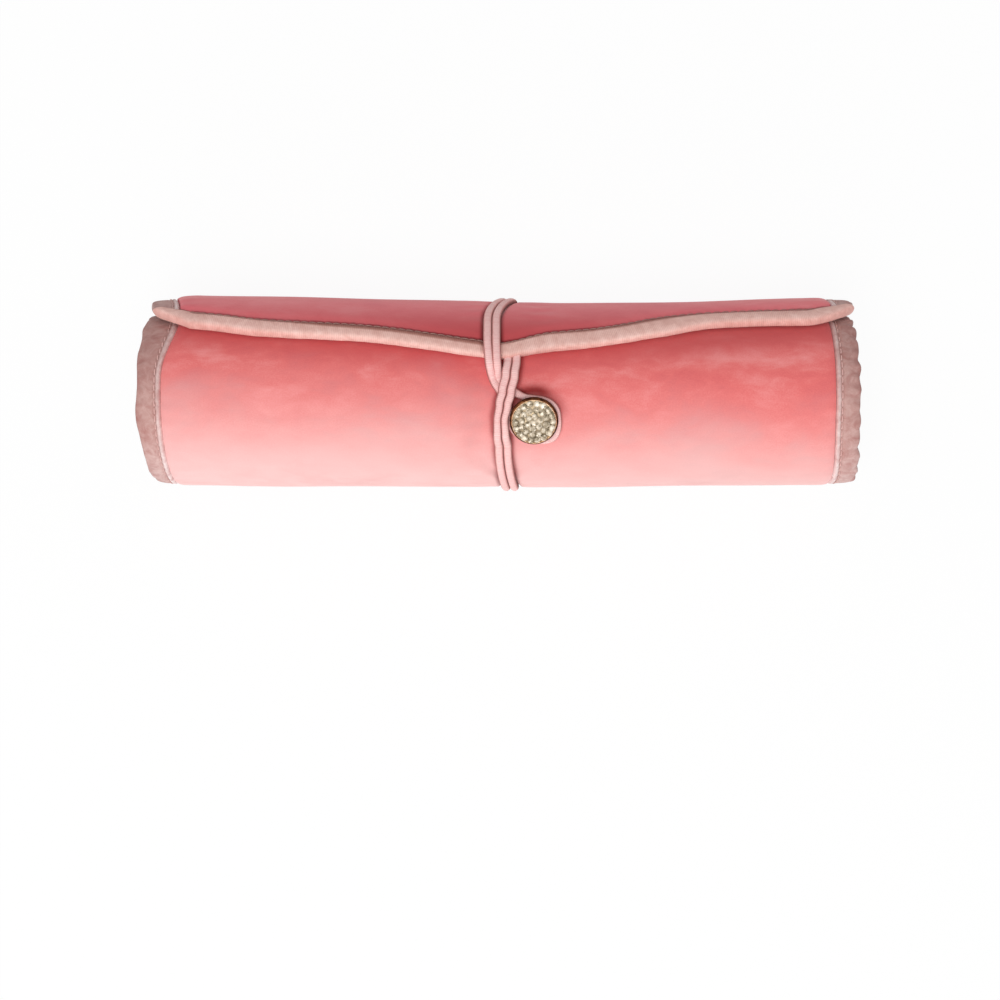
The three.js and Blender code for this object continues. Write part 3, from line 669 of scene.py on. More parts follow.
# %% Elastic and thread finishes
# The elastic's cover is painted darker down the sides of a strand, as shade between the strands.
strand_shade_bands = [
    (0.0, "#8b6a67"),
    (0.1, "#8b6a67"),
    (0.5, "#b5918d"),
    (0.8, "#e2cac7"),
    (1.1, "#ffffff"),
    (1.4, "#ffffff"),
]
cord_cover = woven("covered_elastic", "#f5bdba", "#ffd5d1", 1.4, 0.55, "X", 0.0001, [("Y", strand_shade_bands)])
# Sewing thread is twisted, so each stitch has fine ribs 0.4 mm apart.
thread = woven("sewing_thread", "#dcaea7", "#f2cbc4", 0.8, 0.4, "X", 0.0001)
# The tapes' stitches lie in the tape's shade, so their thread is painted darker.
painted_shade_thread = woven("shadow_thread", "#9c736c", "#b98f87", 0.8, 0.4, "X", 0.0001)

# %% [markdown]
# ## Velvet
# The outer face of the sheet. Wadding makes it full, so it rolls over into the seams at both ends and at
# the flap's tape, puckers along the seams where the stitching takes it in, and gathers beside the
# elastic. It could be simulated cloth. Here the shape is known, so each effect is a term of one formula.

# %% Velvet shape
ON_FLAP_BEFORE = 200


def lumps(x, s):
    """Uneven wadding: three waves of the cloth place, about 0.1 mm high, that never repeat together."""
    one = np.sin(x / 17.3 + 1.7 * np.sin(s / 23))
    two = np.sin(s / 9.0 + 0.8 * np.sin(x / 31) + 1.1)
    three = np.sin((x + 0.6 * s) / 8.3 + 0.5)
    return 0.13 * one + 0.11 * two + 0.09 * three


def velvet_radius(x, a):
    """Face radius, less the roll into the seams, plus lumps, seam puckers and gathers where it is open."""
    s = along(a)
    on_flap = a < ON_FLAP_BEFORE
    from_end = VELVET_HALF - np.abs(x)
    from_tape = np.maximum(0, s - along(flap_seam(x)))
    tucked = 0.7 * np.exp(-from_end / 1.1) + on_flap * 0.8 * np.exp(-from_tape / 1.4)
    pucker = 0.14 * np.exp(-from_end / 8) * np.sin(2 * np.pi * s / 5.6 + 1.3 * np.sin(s / 9))
    tape_pucker = on_flap * 0.12 * np.exp(-from_tape / 5) * np.sin(x / 1.3 + 3 * np.sin(x / 9))
    flank = bell(np.abs(x - WAIST_X), 10, 5)
    gather = 0.16 * flank * np.sin(2 * np.pi * s / 6.3 + 0.9 * np.sin(x / 5))
    open_face = 1 - smooth((a - 345) / 20)
    r = face_radius(x + skew(x, a), a) - tucked + open_face * (lumps(x, s) + pucker + gather + tape_pucker)
    return on_floor(r, a, FLOOR_GAP)


# %% Cut lengths of the sheet
def bend(made, index):
    """Bakes the piece's place into its mesh. It reads the angles set for that fold, but does not bend it.
    """
    start, end = (place(0.0, a, turn_radius(a)) for a in TURNS[index])
    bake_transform(made)
    return made


def nodes_of(prefix, index):
    """The CAD nodes that a cut length stands for: its first panel's, and also the last one's at the end."""
    return [f"{prefix}_{PANELS[index]}"] + ([f"{prefix}_{PANELS[-1]}"] if index == LAST else [])


def sheet_angles(index, x, rows, tucked_in=0.0):
    """Angles of a cut length in each column x: even steps from cut to cut, and one more past each.

    The first length starts at the flap's tape and the last one ends at the inner tape, tucked in or not.
    """
    begin = flap_seam(x) - arc(tucked_in, EDGE_ANGLE) if index == 0 else np.full_like(x, CUTS[index])
    inner_seam = INNER_END - arc(TAPE_WIDTH + CLEAR - tucked_in, INNER_END)
    end = inner_seam if index == LAST else CUTS[index + 1]
    share = np.linspace(-1 / (rows - 1), 1 + 1 / (rows - 1), rows + 2)[:, None]
    return begin[None] + share * (end - begin[None])


def sheet_part(top, foot, marks):
    """A shell of two grids less their first and last rows, with normals that point from foot to top."""
    facing = normals_of(top)
    middle = (len(facing) // 2, facing.shape[1] // 2)
    facing = facing * np.sign(facing[middle] @ (top[middle] - foot[middle]))
    return shell(top[1:-1], foot[1:-1], marks[1:-1], facing[1:-1])


# %% Velvet pieces
VELVET_COLUMNS = 301
# The first and the last length are longer than the others and get more rows.
VELVET_ROWS = [44 if index in (0, LAST) else 32 for index in LENGTHS]
x_even = np.linspace(-VELVET_HALF, VELVET_HALF, 2001)
# Columns are closer together at the elastic and at both ends, where the cloth bends most.
closeness = 1 + 2.4 * bell(x_even, 0, 12) + 2.5 * np.exp(-(VELVET_HALF - np.abs(x_even)) / 3)
counted = np.cumsum(closeness) - closeness[0]
x_fine = np.interp(np.linspace(0, counted[-1], VELVET_COLUMNS), counted, x_even)
for index in LENGTHS:
    angles = sheet_angles(index, x_fine, VELVET_ROWS[index])
    xs = np.broadcast_to(x_fine, angles.shape)
    moved = xs + skew(xs, angles)
    top = place(moved, angles, velvet_radius(xs, angles))
    foot = place(moved, angles, turn_radius(angles) - VELVET_THICK)
    # The third mark is the painted shade beside the elastic.
    part = sheet_part(top, foot, cloth_marks(xs, along(angles), elastic_shade(moved, angles)))
    made = piece(f"velvet_{PANELS[index]}_{PANELS[index + 1]}", [part], [velvet])
    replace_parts(bend(made, index), *nodes_of("cover", index))

# %% [markdown]
# ## Lining
# Satin on the inside, sewn down at all its edges, so it lies close to the wadding with faint ripples. It
# could hang free as cloth, but it is stretched over the wadding, so it is one more layer of the spiral.

# %% Lining pieces
LINING_HALF = VELVET_HALF + 1.0
LINING_ROWS = [30 if index in (0, LAST) else 22 for index in LENGTHS]
LINING_TUCK = 1.1
x_lining = np.linspace(-LINING_HALF, LINING_HALF, 161)
lining_lengths = []
for index in LENGTHS:
    angles = sheet_angles(index, x_lining, LINING_ROWS[index], LINING_TUCK)
    xs = np.broadcast_to(x_lining, angles.shape)
    s = along(angles)
    ripple = 0.06 * np.sin(xs / 6.1 + 1.5 * np.sin(s / 13)) + 0.05 * np.sin(s / 3.7 + np.sin(xs / 19))
    moved = xs + skew(xs, angles)
    top = place(moved, angles, turn_radius(angles) - LINING_TOP)
    foot = place(moved, angles, turn_radius(angles) - LINING_FOOT + ripple)
    part = sheet_part(top, foot, cloth_marks(xs, s, LINING_FOOT))
    made = piece(f"lining_{PANELS[index]}_{PANELS[index + 1]}", [part], [satin])
    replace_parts(bend(made, index), *nodes_of("lining", index))
    width = 2 * LINING_HALF * MM
    # Its cut length is measured on its own face, inside the velvet's.
    steps = np.radians(np.diff(angles[1:-1], axis=0))
    length = float((steps * (turn_radius(angles[1:-2]) - LINING_FOOT)).sum(0).mean()) * MM
    lining_lengths.append(round(length * 1000, 1))
print("lining lengths, mm:", lining_lengths)

# %% [markdown]
# ## Side ribbons
# A soft ribbon is folded over each end of the sheet and stitched down. It could be a flat strip with a
# Solidify modifier. Its fold is full and round, so its section is a rounded box carried round the spiral.
# The free edge waves where the ribbon was eased round the turn, more on the right end than on the left,
# and a row of thread lies along the seam.


# %% Ends of the flap
def flap_outline():
    """The flap's edge on the flat cloth: along the roll and along the sheet, closer at the corners."""
    t = np.linspace(-1, 1, 901)
    x = HALF_LENGTH * np.sign(t) * (1 - (1 - np.abs(t)) ** 1.8)
    return np.stack([x, along(flap_edge(x))], -1)


edge_line = flap_outline()
RIBBON_X = (HALF_LENGTH + VELVET_HALF) / 2
RIBBON_START = {side: float(angle_at(along(flap_edge(side * RIBBON_X)) + 2.0)) for side in (-1, 1)}


def edge_x(s, side):
    """How far out the flap reaches at a distance along the sheet: all the way from past its corner on."""
    corner = edge_line[side * edge_line[:, 0] > 95]
    corner = corner[np.argsort(corner[:, 1])]
    rows = np.concatenate([corner[:, 1], corner[-1:, 1] + 3])
    return np.interp(s, rows, np.concatenate([np.abs(corner[:, 0]), [HALF_LENGTH + 0.6]]))


print("the ribbons start at", RIBBON_START)

# %% Ribbon
RIBBON_IN = VELVET_HALF + 0.15
RIBBON_OUT = HALF_LENGTH + 0.15
RIBBON_MIDDLE = 2.8
HALF_THICK = 2.0
WELT_X = 108.0
SEAM_X = 109.2
STITCH_STEP = 2.6


def superellipse(count, power, stretch=1.0):
    """A rounded box outline: cosine and sine to the power of two over a power, evenly spaced."""
    t = np.linspace(0, 2 * np.pi, 1441)
    u, v = (np.sign(w) * np.abs(w) ** (2 / power) for w in (np.cos(t), np.sin(t)))
    run = np.concatenate([[0], np.cumsum(np.hypot(stretch * np.diff(u), np.diff(v)))])
    even = np.linspace(0, run[-1], count, endpoint=False)
    return np.interp(even, run, u), np.interp(even, run, v)


def wave(s, side):
    """How far the ribbon's free edge wanders: tight scallops on the right, long uneven ones on the left."""
    size = 0.6 + 0.35 * np.sin(s / 11 + 0.6)
    scallop = np.abs(np.sin(np.pi * s / 7.1 + 0.9 * np.sin(s / 7.3)))
    right = size * (1.1 * scallop - 0.7) + 0.2 * np.sin(s / 1.7 + 1.3 * np.sin(s / 5))
    left = 0.3 * np.sin(2 * np.pi * s / 19 + 1.4 * np.sin(s / 11)) + 0.1 * np.sin(s / 2.3)
    return np.where(side > 0, right, left)


def ribbon_rings(a, side):
    """Rings of the folded ribbon: a rounded box 8 mm wide, with a welt at the seam and a waved edge."""
    u, v = superellipse(52, 4.0, 2.3)
    a, u, v = a[:, None], u[None], v[None]
    s = along(a)
    free = smooth((u + 0.2) / 1.2)
    reach = np.minimum(RIBBON_OUT, edge_x(s, side) - 0.4) - RIBBON_IN
    waved = free * wave(s, side) * smooth((s - along(RIBBON_START[side])) / 9)
    x = RIBBON_IN + reach * (1 + u) / 2 + waved
    flute = 0.28 * np.sin(2 * np.pi * s / 5.3 + 1.6 * np.sin(s / 6.1)) * (1.0 if side > 0 else 0.35)
    welt = 0.45 * bell(x, WELT_X, 0.6) - 0.25 * bell(x, SEAM_X + 0.1, 0.5)
    dimple = 0.1 * np.sin(2 * np.pi * s / STITCH_STEP) * bell(x, SEAM_X, 0.8)
    body = RIBBON_MIDDLE - HALF_THICK * v * (1 - 0.22 * free)
    depth = body + free * flute - smooth(4 * v) * (welt + dimple)
    r = on_floor(turn_radius(a) - depth, a, FLOOR_GAP)
    return place(side * x + skew(side * x, a), a, r), cloth_marks(side * x, s, depth)


# %% Stitches
SEAM_DEPTH = 1.0
# Length and radius of a stitch, in metres.
SEAM_STITCH = (0.0021, 0.00022)
TAPE_STITCH = (0.0024, 0.00015)


def circle(count):
    """Cosines and sines of one full turn in equal steps."""
    turn = np.linspace(0, 2 * np.pi, count, endpoint=False)
    return np.cos(turn), np.sin(turn)


def stitches(centres, ahead, out, length, radius):
    """A row of threads: each a six-sided spindle of seven rings, bowed outwards and sunk at both ends."""
    t = np.linspace(-1, 1, 7)
    c, s = circle(6)
    ahead, out = unit(ahead), unit(out)
    beside = np.cross(ahead, out)
    girth = radius * np.sqrt(np.maximum(1 - t**4, 0.05))
    rise = radius * (1.2 - 1.6 * t**2)
    spine = centres[:, None] + ahead[:, None] * (t * length / 2)[:, None] + out[:, None] * rise[:, None]
    facing = out[:, None, None] * c[:, None] + beside[:, None, None] * s[:, None]
    rings = spine[:, :, None] + facing * girth[None, :, None, None]
    marks = np.zeros(rings.shape)
    marks[..., 0] = (t * length / 2 * 1000)[None, :, None]
    return skins(rings, marks, np.broadcast_to(facing, rings.shape))


def seam_row(a, x):
    """Stitches along the sheet at a place along the roll, a step apart, 1 mm below the velvet's face."""
    steps = np.arange(along(a[0]) + STITCH_STEP / 2, along(a[-1]) - 0.6, STITCH_STEP)
    at = np.interp(steps, along(a), a)
    r = on_floor(turn_radius(at) - SEAM_DEPTH, at, 0.6)
    moved = x + skew(x, at)
    centres, out = path_on_roll(moved, at, r)
    return stitches(centres, place(moved, at + 0.5, r) - centres, out, *SEAM_STITCH)


# %% Ribbon pieces
RING_GAP = 0.55
for side, word in ((-1, "left"), (1, "right")):
    for index in LENGTHS:
        first, last = (RIBBON_START[side] if index == 0 else CUTS[index]), CUTS[index + 1]
        count = int((along(last) - along(first)) / RING_GAP)
        step = (last - first) / (count - 1)
        angles = np.linspace(first - step, last + step, count + 2)
        rings, marks = ribbon_rings(angles, side)
        facing = unit(np.cross(np.gradient(rings, axis=0), np.roll(rings, -1, 1) - np.roll(rings, 1, 1)))
        outwards = np.einsum("ijk,ijk->ij", facing, rings - rings.mean(1, keepdims=True))
        facing = facing * np.sign(np.median(outwards))
        part = skin(rings[1:-1], marks[1:-1], facing[1:-1])
        row = seam_row(angles[1:-1], side * SEAM_X)
        name = f"{word}_ribbon_{PANELS[index]}_{PANELS[index + 1]}"
        made = piece(name, [part, row], [side_ribbon, thread])
        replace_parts(bend(made, index), *nodes_of(f"{word}_binding", index))
    print(word, "ribbon from", round(RIBBON_START[side], 1), "to", INNER_END, "degrees")

# %% [markdown]
# ## Flap tape and inner tape
# The pointed edge of the flap is bound in a narrower ribbed tape that looks almost rolled. It goes flat
# where the elastic presses on it. Its upper edge shows a darker line: stitches, and a brown band of
# painted shade. A bevelled curve along the edge would be quick, but it could not change its width. So
# rings are set across the edge's line on the flat cloth, and the spiral carries them round.


# %% Lines on the flat cloth
def distance_along(points):
    """The distance from the first point to each point of a line."""
    return np.concatenate([[0], np.cumsum(np.linalg.norm(np.diff(points, axis=0), axis=1))])


def evenly(line, gap=0.5):
    """The same line with its points a gap apart, and their distances along it."""
    run = distance_along(line)
    at = np.linspace(0, run[-1], int(run[-1] / gap))
    return np.stack([np.interp(at, run, line[:, 0]), np.interp(at, run, line[:, 1])], -1), at


def inwards(line, inward):
    """Unit directions across a line, into the cloth: averages over 8 mm, which fan out at a corner."""
    ahead = np.gradient(line, axis=0)
    padded = np.concatenate([ahead[:1].repeat(8, 0), ahead, ahead[-1:].repeat(8, 0)])
    ahead = unit(np.stack([np.convolve(padded[:, i], np.ones(17) / 17, "valid") for i in (0, 1)], -1))
    return inward * np.stack([-ahead[:, 1], ahead[:, 0]], -1)


# %% Tape section
TAPE_TOP = 0.5
TAPE_FOOT = 4.5
STITCH_INSET = 0.9
FLAP_END = 90


def tape_shade(x):
    """How far the brown painted shade on the tape's stitched side is widened, in mm: most left of the
    middle.
    """
    left = 1.3 * smooth((x + 80) / 30) * (1 - smooth((x + 8) / 8))
    return left + 0.5 * bell(x, 42, 22)


def sunk(x, a):
    """How far a tape is sunk in under the elastic: only the flap's tape is."""
    return waist(x, np.minimum(a, 60)) * (a < FLAP_END)


def tape_rings(line, inward, width, lower):
    """Rings of an edge tape: a rounded box inside a line, thin under the elastic and narrow at its ends."""
    u, v = superellipse(44, 3.2, 1.6)
    line, run = evenly(line)
    into = inwards(line, inward)
    run = run[:, None]
    to_end = np.minimum(run, run[-1] - run)
    full = np.sqrt(1 - np.clip(1 - to_end / 3, 0, 0.96) ** 2)
    width = width(line[:, :1]) * (0.45 + 0.55 * smooth(to_end / 15))
    ripple = 0.08 * np.sin(run / 2.9 + 1.5 * np.sin(run / 9)) + 0.04 * np.sin(run / 0.9 + np.sin(run / 4))
    across = width / 2 * (1 - u) + ripple * np.maximum(u, 0) * full
    x = line[:, :1] + into[:, :1] * across
    a = angle_at(line[:, 1:] + into[:, 1:] * across)
    moved = x + skew(x, a)
    upper = TAPE_TOP + 1.25 * sunk(moved, a)
    depth = (upper + lower) / 2 - (lower - upper) / 2 * v * full
    marked = across / width * TAPE_WIDTH + tape_shade(x) * (a < FLAP_END)
    return place(moved, a, turn_radius(a) - depth), cloth_marks(run, marked, depth)


def tape_row(line, inward, width):
    """Stitches along the tape's sewn edge, a step apart and an inset in from it."""
    line, run = evenly(line)
    line = line + inwards(line, inward) * (width(line[:, :1]) - STITCH_INSET)
    steps = np.arange(16, run[-1] - 16, STITCH_STEP)
    x, s = (np.interp(steps, run, line[:, i]) for i in (0, 1))
    a = angle_at(s)
    x = x + skew(x, a)
    centres, out = path_on_roll(x, a, turn_radius(a) - 0.62 - 1.2 * sunk(x, a))
    return stitches(centres, np.gradient(centres, axis=0), out, *TAPE_STITCH)


def even_width(x):
    """The inner tape: the same width all along."""
    return np.full_like(x, TAPE_WIDTH)


# %% Tape pieces
end_line = np.array([[-HALF_LENGTH, 1.0], [HALF_LENGTH, 1.0]]) * [1.0, along(INNER_END)]
for name, line, inward, width, lower, body, node in (
    ("flap_tape", edge_line, 1, tape_width, TAPE_FOOT, "flap", "flap_edge_binding"),
    ("inner_tape", end_line, -1, even_width, LINING_FOOT + CLEAR, "tuck_3", "inner_edge_binding"),
):
    parts = [skin(*tape_rings(line, inward, width, lower)), tape_row(line, inward, width)]
    made = piece(name, parts, [edge_tape, painted_shade_thread])
    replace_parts(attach(made, body), node)
    print(name, round(distance_along(line)[-1]), "mm long")

# %% [markdown]
# ## Elastic
# One cord covered in knitted thread, doubled into two strands. It comes out from under the flap's point,
# goes down the front, under, up the back and over the flap, dives under itself and opens into the loop
# that holds the button. It is pressed flat under the roll. A bevelled curve could make it, but not press
# it flat, so it is rings along a path.

# %% Strands
LIFT_OVER = STRAND + CLEAR
PAIR_LIFT = np.array([2.0, 1.8, *[LIFT_OVER] * 5, *[0.0] * 6])


def strand_height(a):
    """Half the strand's height: full on the roll, half of it below, and flat inside the flap's tape."""
    low = smooth((np.abs(a + 180) - 23) / 7)
    tucked = smooth((21 - a) / 8)
    return (SQUASHED + (STRAND - SQUASHED) * low) / 2 * (0.55 + 0.45 * tucked)


def across_path(path, out):
    """Unit directions out of a path and beside it, both square to the way ahead."""
    ahead = unit(np.gradient(path, axis=0))
    out = unit(out - ahead * np.einsum("ij,ij->i", out, ahead)[:, None])
    return out, np.cross(ahead, out)


def tube_along(path, out, wide, high, sides=14):
    """Rings across a path, ellipses that are wide beside it and high outwards, their marks and normals."""
    out, beside = across_path(path, out)
    c, s = circle(sides)
    wide, high = wide[:, None], high[:, None]
    rings = path[:, None] + beside[:, None] * (c * wide)[..., None] + out[:, None] * (s * high)[..., None]
    facing = unit(beside[:, None] * (c / wide)[..., None] + out[:, None] * (s / high)[..., None])
    run = distance_along(path)[:, None] * 1000
    return rings, cloth_marks(run, np.abs(s) * STRAND / 2, 0.0), facing


def pair_parts(a):
    """The two strands side by side along the route: the middle of the pair, less and plus half a strand."""
    step = a[1] - a[0]
    a = np.concatenate([a[:1] - step, a, a[-1:] + step])
    x = eased(a, PAIR_ANGLE, PAIR_X)
    half = strand_height(a)
    middle_of_groove = np.where(a > -45, WAIST_X, x)
    r = face_radius(middle_of_groove, a + 360) + CLEAR + half + eased(a, PAIR_ANGLE, PAIR_LIFT)
    middle, out = path_on_roll(x, a, r)
    beside = across_path(middle, out)[1]
    # Beside the button the two strands are stretched thin. They press into each other by a hair.
    wide = STRAND / 2 * MM * (1 - 0.15 * bell(a, -18, 9))
    apart = 0.986 * beside * wide[:, None]
    tubes = [tube_along(middle + side * apart, out, wide, half * MM) for side in (-1, 1)]
    return [skin(*(rows[1:-1] for rows in tube)) for tube in tubes]


def strand_length(parts):
    """The mean length of strands in millimetres, from their marks."""
    return sum(float(p["cloth"][:, 0].max()) for p in parts) / len(parts)


# %% Elastic pairs
PAIR_CUTS = [24, -11.5, -68, -124, -180, -236, -292, -331]
CORDS = ["flap", *(f"elastic_{k}" for k in range(1, 7)), "elastic_loop"]
BEND_RADIUS = 31.0
elastic_length = 0.0
for index in range(len(PAIR_CUTS) - 1):
    first, last = PAIR_CUTS[index], PAIR_CUTS[index + 1]
    parts = pair_parts(np.linspace(first, last, max(30, int(abs(last - first) * 0.9))))
    elastic_length += strand_length(parts)
    made = piece(f"elastic_pair_{index + 1}", parts, [cord_cover, cord_cover])
    # It would start to bend a few degrees past its first cut and be done a few before its last one. These
    # angles are worked out, but nothing bends it.
    bend_angles = (first - (4 if index else 6.5), last + (3.5 if index < 6 else 5))
    ends = [place(0.0, a, BEND_RADIUS) for a in bend_angles]
    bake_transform(made)
    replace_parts(made, CORDS[min(index + 1, 6)])
print("elastic pairs, mm:", round(elastic_length))

# %% Route of the loop
LEFT, RIGHT = PAIR_END - 0.482, PAIR_END + 0.482
ON_FLAP = PITCH - WAIST_DEPTH
# Each point has its place along the roll in strands, its angle, and its lift off the velvet.
LOOP = np.array(
    [
        [LEFT, 31, ON_FLAP],
        [LEFT + 0.02, 25, ON_FLAP],
        [LEFT + 0.2, 15, ON_FLAP],
        [LEFT + 0.36, 11, ON_FLAP / 2],
        [LEFT + 0.6, 7, 0.25],
        [-0.3, 3, 0],
        [0.3, -2, 0],
        [0.8, -8, 0],
        [1.08, -13, 0],
        [1.2, -18, 0],
        [1.45, -23, 0],
        [2.1, -28, 0],
        [3.05, -31.2, 0],
        [4.1, -32.2, 0],
        [5.3, -32, 0],
        [6.3, -29.2, 0],
        [6.74, -24, 0],
        [6.76, -18, 0],
        [6.56, -12.6, 0],
        [5.98, -8.8, 0],
        [5.1, -6.6, 0],
        [4.0, -5.7, 0],
        [2.9, -4.9, 0],
        [1.9, -2.2, 0],
        [1.05, 0.8, 0],
        [0.4, 4, 0],
        [RIGHT + 0.33, 7, 0.25],
        [RIGHT + 0.2, 11, ON_FLAP / 2],
        [RIGHT + 0.1, 15, ON_FLAP],
        [RIGHT + 0.02, 25, ON_FLAP],
        [RIGHT, 31, ON_FLAP],
    ]
)


def through(points, count):
    """A smooth line through points: the cubic whose slope at a point is half its neighbours' gap."""
    ends = np.concatenate([2 * points[:1] - points[1:2], points, 2 * points[-1:] - points[-2:-1]])
    t = np.linspace(0, len(points) - 1, count)
    k = np.minimum(t.astype(int), len(points) - 2)
    f = (t - k)[:, None]
    p0, p1, p2, p3 = (ends[k + i] for i in range(4))
    return p1 + f / 2 * (p2 - p0 + f * (2 * p0 - 5 * p1 + 4 * p2 - p3 + f * (3 * (p1 - p2) + p3 - p0)))


# %% Elastic loop
LOOP_RADIUS = 33
LOOP_RINGS = 260
route = through(LOOP, LOOP_RINGS)
x, a, lift = route[:, 0] * STRAND, route[:, 1], route[:, 2]
path, out = path_on_roll(x, a, face_radius(x, a + 360) + CLEAR + STRAND / 2 + lift)
# Round the button the strand is drawn thin.
from_button = np.hypot(x - BUTTON_X, np.radians(a - BUTTON_ANGLE + 360) * LOOP_RADIUS)
drawn_thin = (1 - smooth((from_button - 9) / 4)) * smooth((x - 4) / 6)
size = STRAND / 2 * (1 - 0.24 * drawn_thin) * MM
part = skin(*tube_along(path, out, size, size))
elastic_length += strand_length([part]) / 2
loop = piece("elastic_loop_strand", [part], [cord_cover])
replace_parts(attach(loop, "elastic_loop"), "elastic_loop")
print("doubled elastic, mm:", round(elastic_length), "so the cord is", round(2 * elastic_length))

# %% [markdown]
# ## Button
# A pressed metal cup with a rim, filled with a pave of foil-backed stones, on a thread shank. Turned
# shapes could be spun by a Screw modifier. Here a profile is spun by arrays, as all other shapes are. The
# stones are one small cut shape set in rings.


# %% Metal and stone finishes
def flecked(name, scale, detail, stops, metallic, rough, worn=None):
    """A hard finish with faint flecks: noise on the object's own place, shown as tones and roughness."""
    material, tree = new_material(name)
    where = add(tree, "TexCoord", {}, out="Object")
    flecks = add(tree, "TexNoise", {"Vector": where, "Scale": scale, "Detail": detail}, out="Fac")
    if worn is not None:
        rough = add(tree, "MapRange", {"Value": flecks, "To Min": rough, "To Max": worn})
    tone = add(tree, "ValToRGB", {"Fac": flecks}, stops)
    look = {"Base Color": tone, "Metallic": metallic, "Roughness": rough}
    finish(material, look)
    return material


# Gold plating is bright and even, with faint wear in patches of about 2 mm.
gold = flecked("pale_gold_plate", 500.0, 3.0, [(0.35, "#c29a72"), (0.65, "#e0bf9c")], 1.0, 0.16, 0.32)
# Brass darkened to brown as painted shade: its flange stands for the dark gap round the button. It is
# rubbed paler in patches of about 2 mm.
shade_brass = flecked("shade_dark_brass", 500.0, 3.0, [(0.4, "#2e160d"), (0.68, "#653b23")], 1.0, 0.4)
# Dark metal between the stones, with a grain of about 1 mm.
bronze = flecked("aged_bronze_bed", 1000.0, 2.0, [(0.0, "#75654f"), (1.0, "#a2927a")], 0.9, 0.4)

crystal, tree = new_material("foil_backed_crystal")
where = add(tree, "TexCoord", {}, out="Object")
# Each facet would show the foil at another slant. That reflection is painted into the glass as a
# patchwork of champagne tones 0.8 mm wide.
painted_glints = add(tree, "TexVoronoi", {"Vector": where, "Scale": 1300.0}, out="Color")
glint_tone = add(tree, "SeparateColor", {"Color": painted_glints})
tone = add(tree, "ValToRGB", {"Fac": glint_tone}, [(0.12, "#85775f"), (0.5, "#c2b29b"), (0.9, "#eadecb")])
look = {"Base Color": tone, "Metallic": 0.2, "Roughness": 0.4}
finish(crystal, look)


# %% Turned shapes
def standing(points, x, a, r, flip=1):
    """Points of an upright shape set on the roll: their height points along the radius at an angle."""
    t = math.radians(a)
    up = np.array([0, math.sin(t), math.cos(t)]) * flip
    ahead = np.array([1.0, 0, 0])
    beside = np.cross(up, ahead)
    foot = np.array([x, AXIS_Y + r * math.sin(t), AXIS_HEIGHT + r * math.cos(t)])
    return (foot + points[..., :1] * ahead + points[..., 1:2] * beside + points[..., 2:] * up) * MM


def hard_part(shape, at):
    """A skin of rings set on the roll, which keeps their own points as its marks."""
    return skin(standing(shape, *at), shape)


def turned(profile, outline):
    """A profile of reach and height carried round an outline: a circle spins it round the upright axis."""
    profile = np.array(profile, float)
    reach, height = profile[:, :1], profile[:, 1:]
    return np.stack(np.broadcast_arrays(reach * outline[0], reach * outline[1], height), -1)


def rounded(corners, radius, steps=5):
    """A profile with its inner corners rounded: each is replaced by a short quadratic curve."""
    corners = np.array(corners, float)
    out = [corners[:1]]
    for before, corner, after in zip(corners[:-2], corners[1:-1], corners[2:]):
        into, away = before - corner, after - corner
        into, away = (v / np.linalg.norm(v) * min(radius, np.linalg.norm(v) * 0.45) for v in (into, away))
        t = np.linspace(0, 1, steps)[:, None]
        out.append((1 - t) ** 2 * (corner + into) + 2 * t * (1 - t) * corner + t**2 * (corner + away))
    return np.concatenate([*out, corners[-1:]])


# %% Button setting
# A dark cup with a flange, its dark brown painted shade for the gap round the button, and a pale lip on
# it that holds the stones. Profiles start and end at a tiny hub, next to the axis.
HUB = 0.01
CUP = [(HUB, 0.3), (5.2, 0.3), (6.0, 0.9), (6.0, 3.3), (7.7, 3.5), (7.7, 4.3), (7.2, 4.55), (HUB, 4.55)]
LIP = [(HUB, 4.5), (7.0, 4.5), (7.15, 5.2), (6.98, 5.45), (6.8, 5.3), (6.75, 4.7), (HUB, 4.7)]
BUTTON_AT = (BUTTON_X, BUTTON_ANGLE, float(turn_radius(BUTTON_ANGLE)))
profiles = (rounded(CUP, 0.3), rounded(LIP, 0.15))
setting = [hard_part(turned(profile, circle(72)), BUTTON_AT) for profile in profiles]
cup = piece("button_setting", setting, [shade_brass, gold], sharp=40)
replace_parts(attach(cup, "button"), "button_cup")
print("button", 2 * max(reach for reach, _ in CUP), "mm across")

# %% Button stones
# A stone: girdle, eight crown facets and a flat table, as rings of eight points.
STONE = [(0.05, -0.35), (0.6, -0.2), (1.08, 0.0), (1.08, 0.12), (0.78, 0.46), (0.46, 0.6), (0.02, 0.62)]
BED = [(HUB, 4.65), (6.8, 4.65), (6.8, 5.0), (5.2, 5.45), (3.2, 5.95), (HUB, 6.15)]
RING_COUNTS = np.array([1, 6, 12, 18])
RING_REACH = np.array([0.0, 1.98, 3.95, 5.88])
CROWN_FOOT, CROWN_RISE, CROWN_REACH = 5.25, 1.05, 7.1
stone = turned(STONE, circle(8))
ring_of = np.repeat(np.arange(4), RING_COUNTS)
seat = np.concatenate([np.arange(n) for n in RING_COUNTS])
many = len(seat)
spread = np.random.default_rng(7)
turn = 2 * np.pi * (seat + 0.37 * ring_of) / RING_COUNTS[ring_of] + spread.normal(0, 0.03, many)
reach = RING_REACH[ring_of]
crown = CROWN_FOOT + CROWN_RISE * (1 - (reach / CROWN_REACH) ** 2)
scale = spread.uniform(0.96, 1.06, many)[:, None, None]
spin = spread.uniform(0, np.pi / 4, many)[:, None, None]
tilt = spread.normal(0, 0.15, (many, 2))[..., None, None]
u = (stone[..., 0] * np.cos(spin) - stone[..., 1] * np.sin(spin)) * scale
v = (stone[..., 0] * np.sin(spin) + stone[..., 1] * np.cos(spin)) * scale
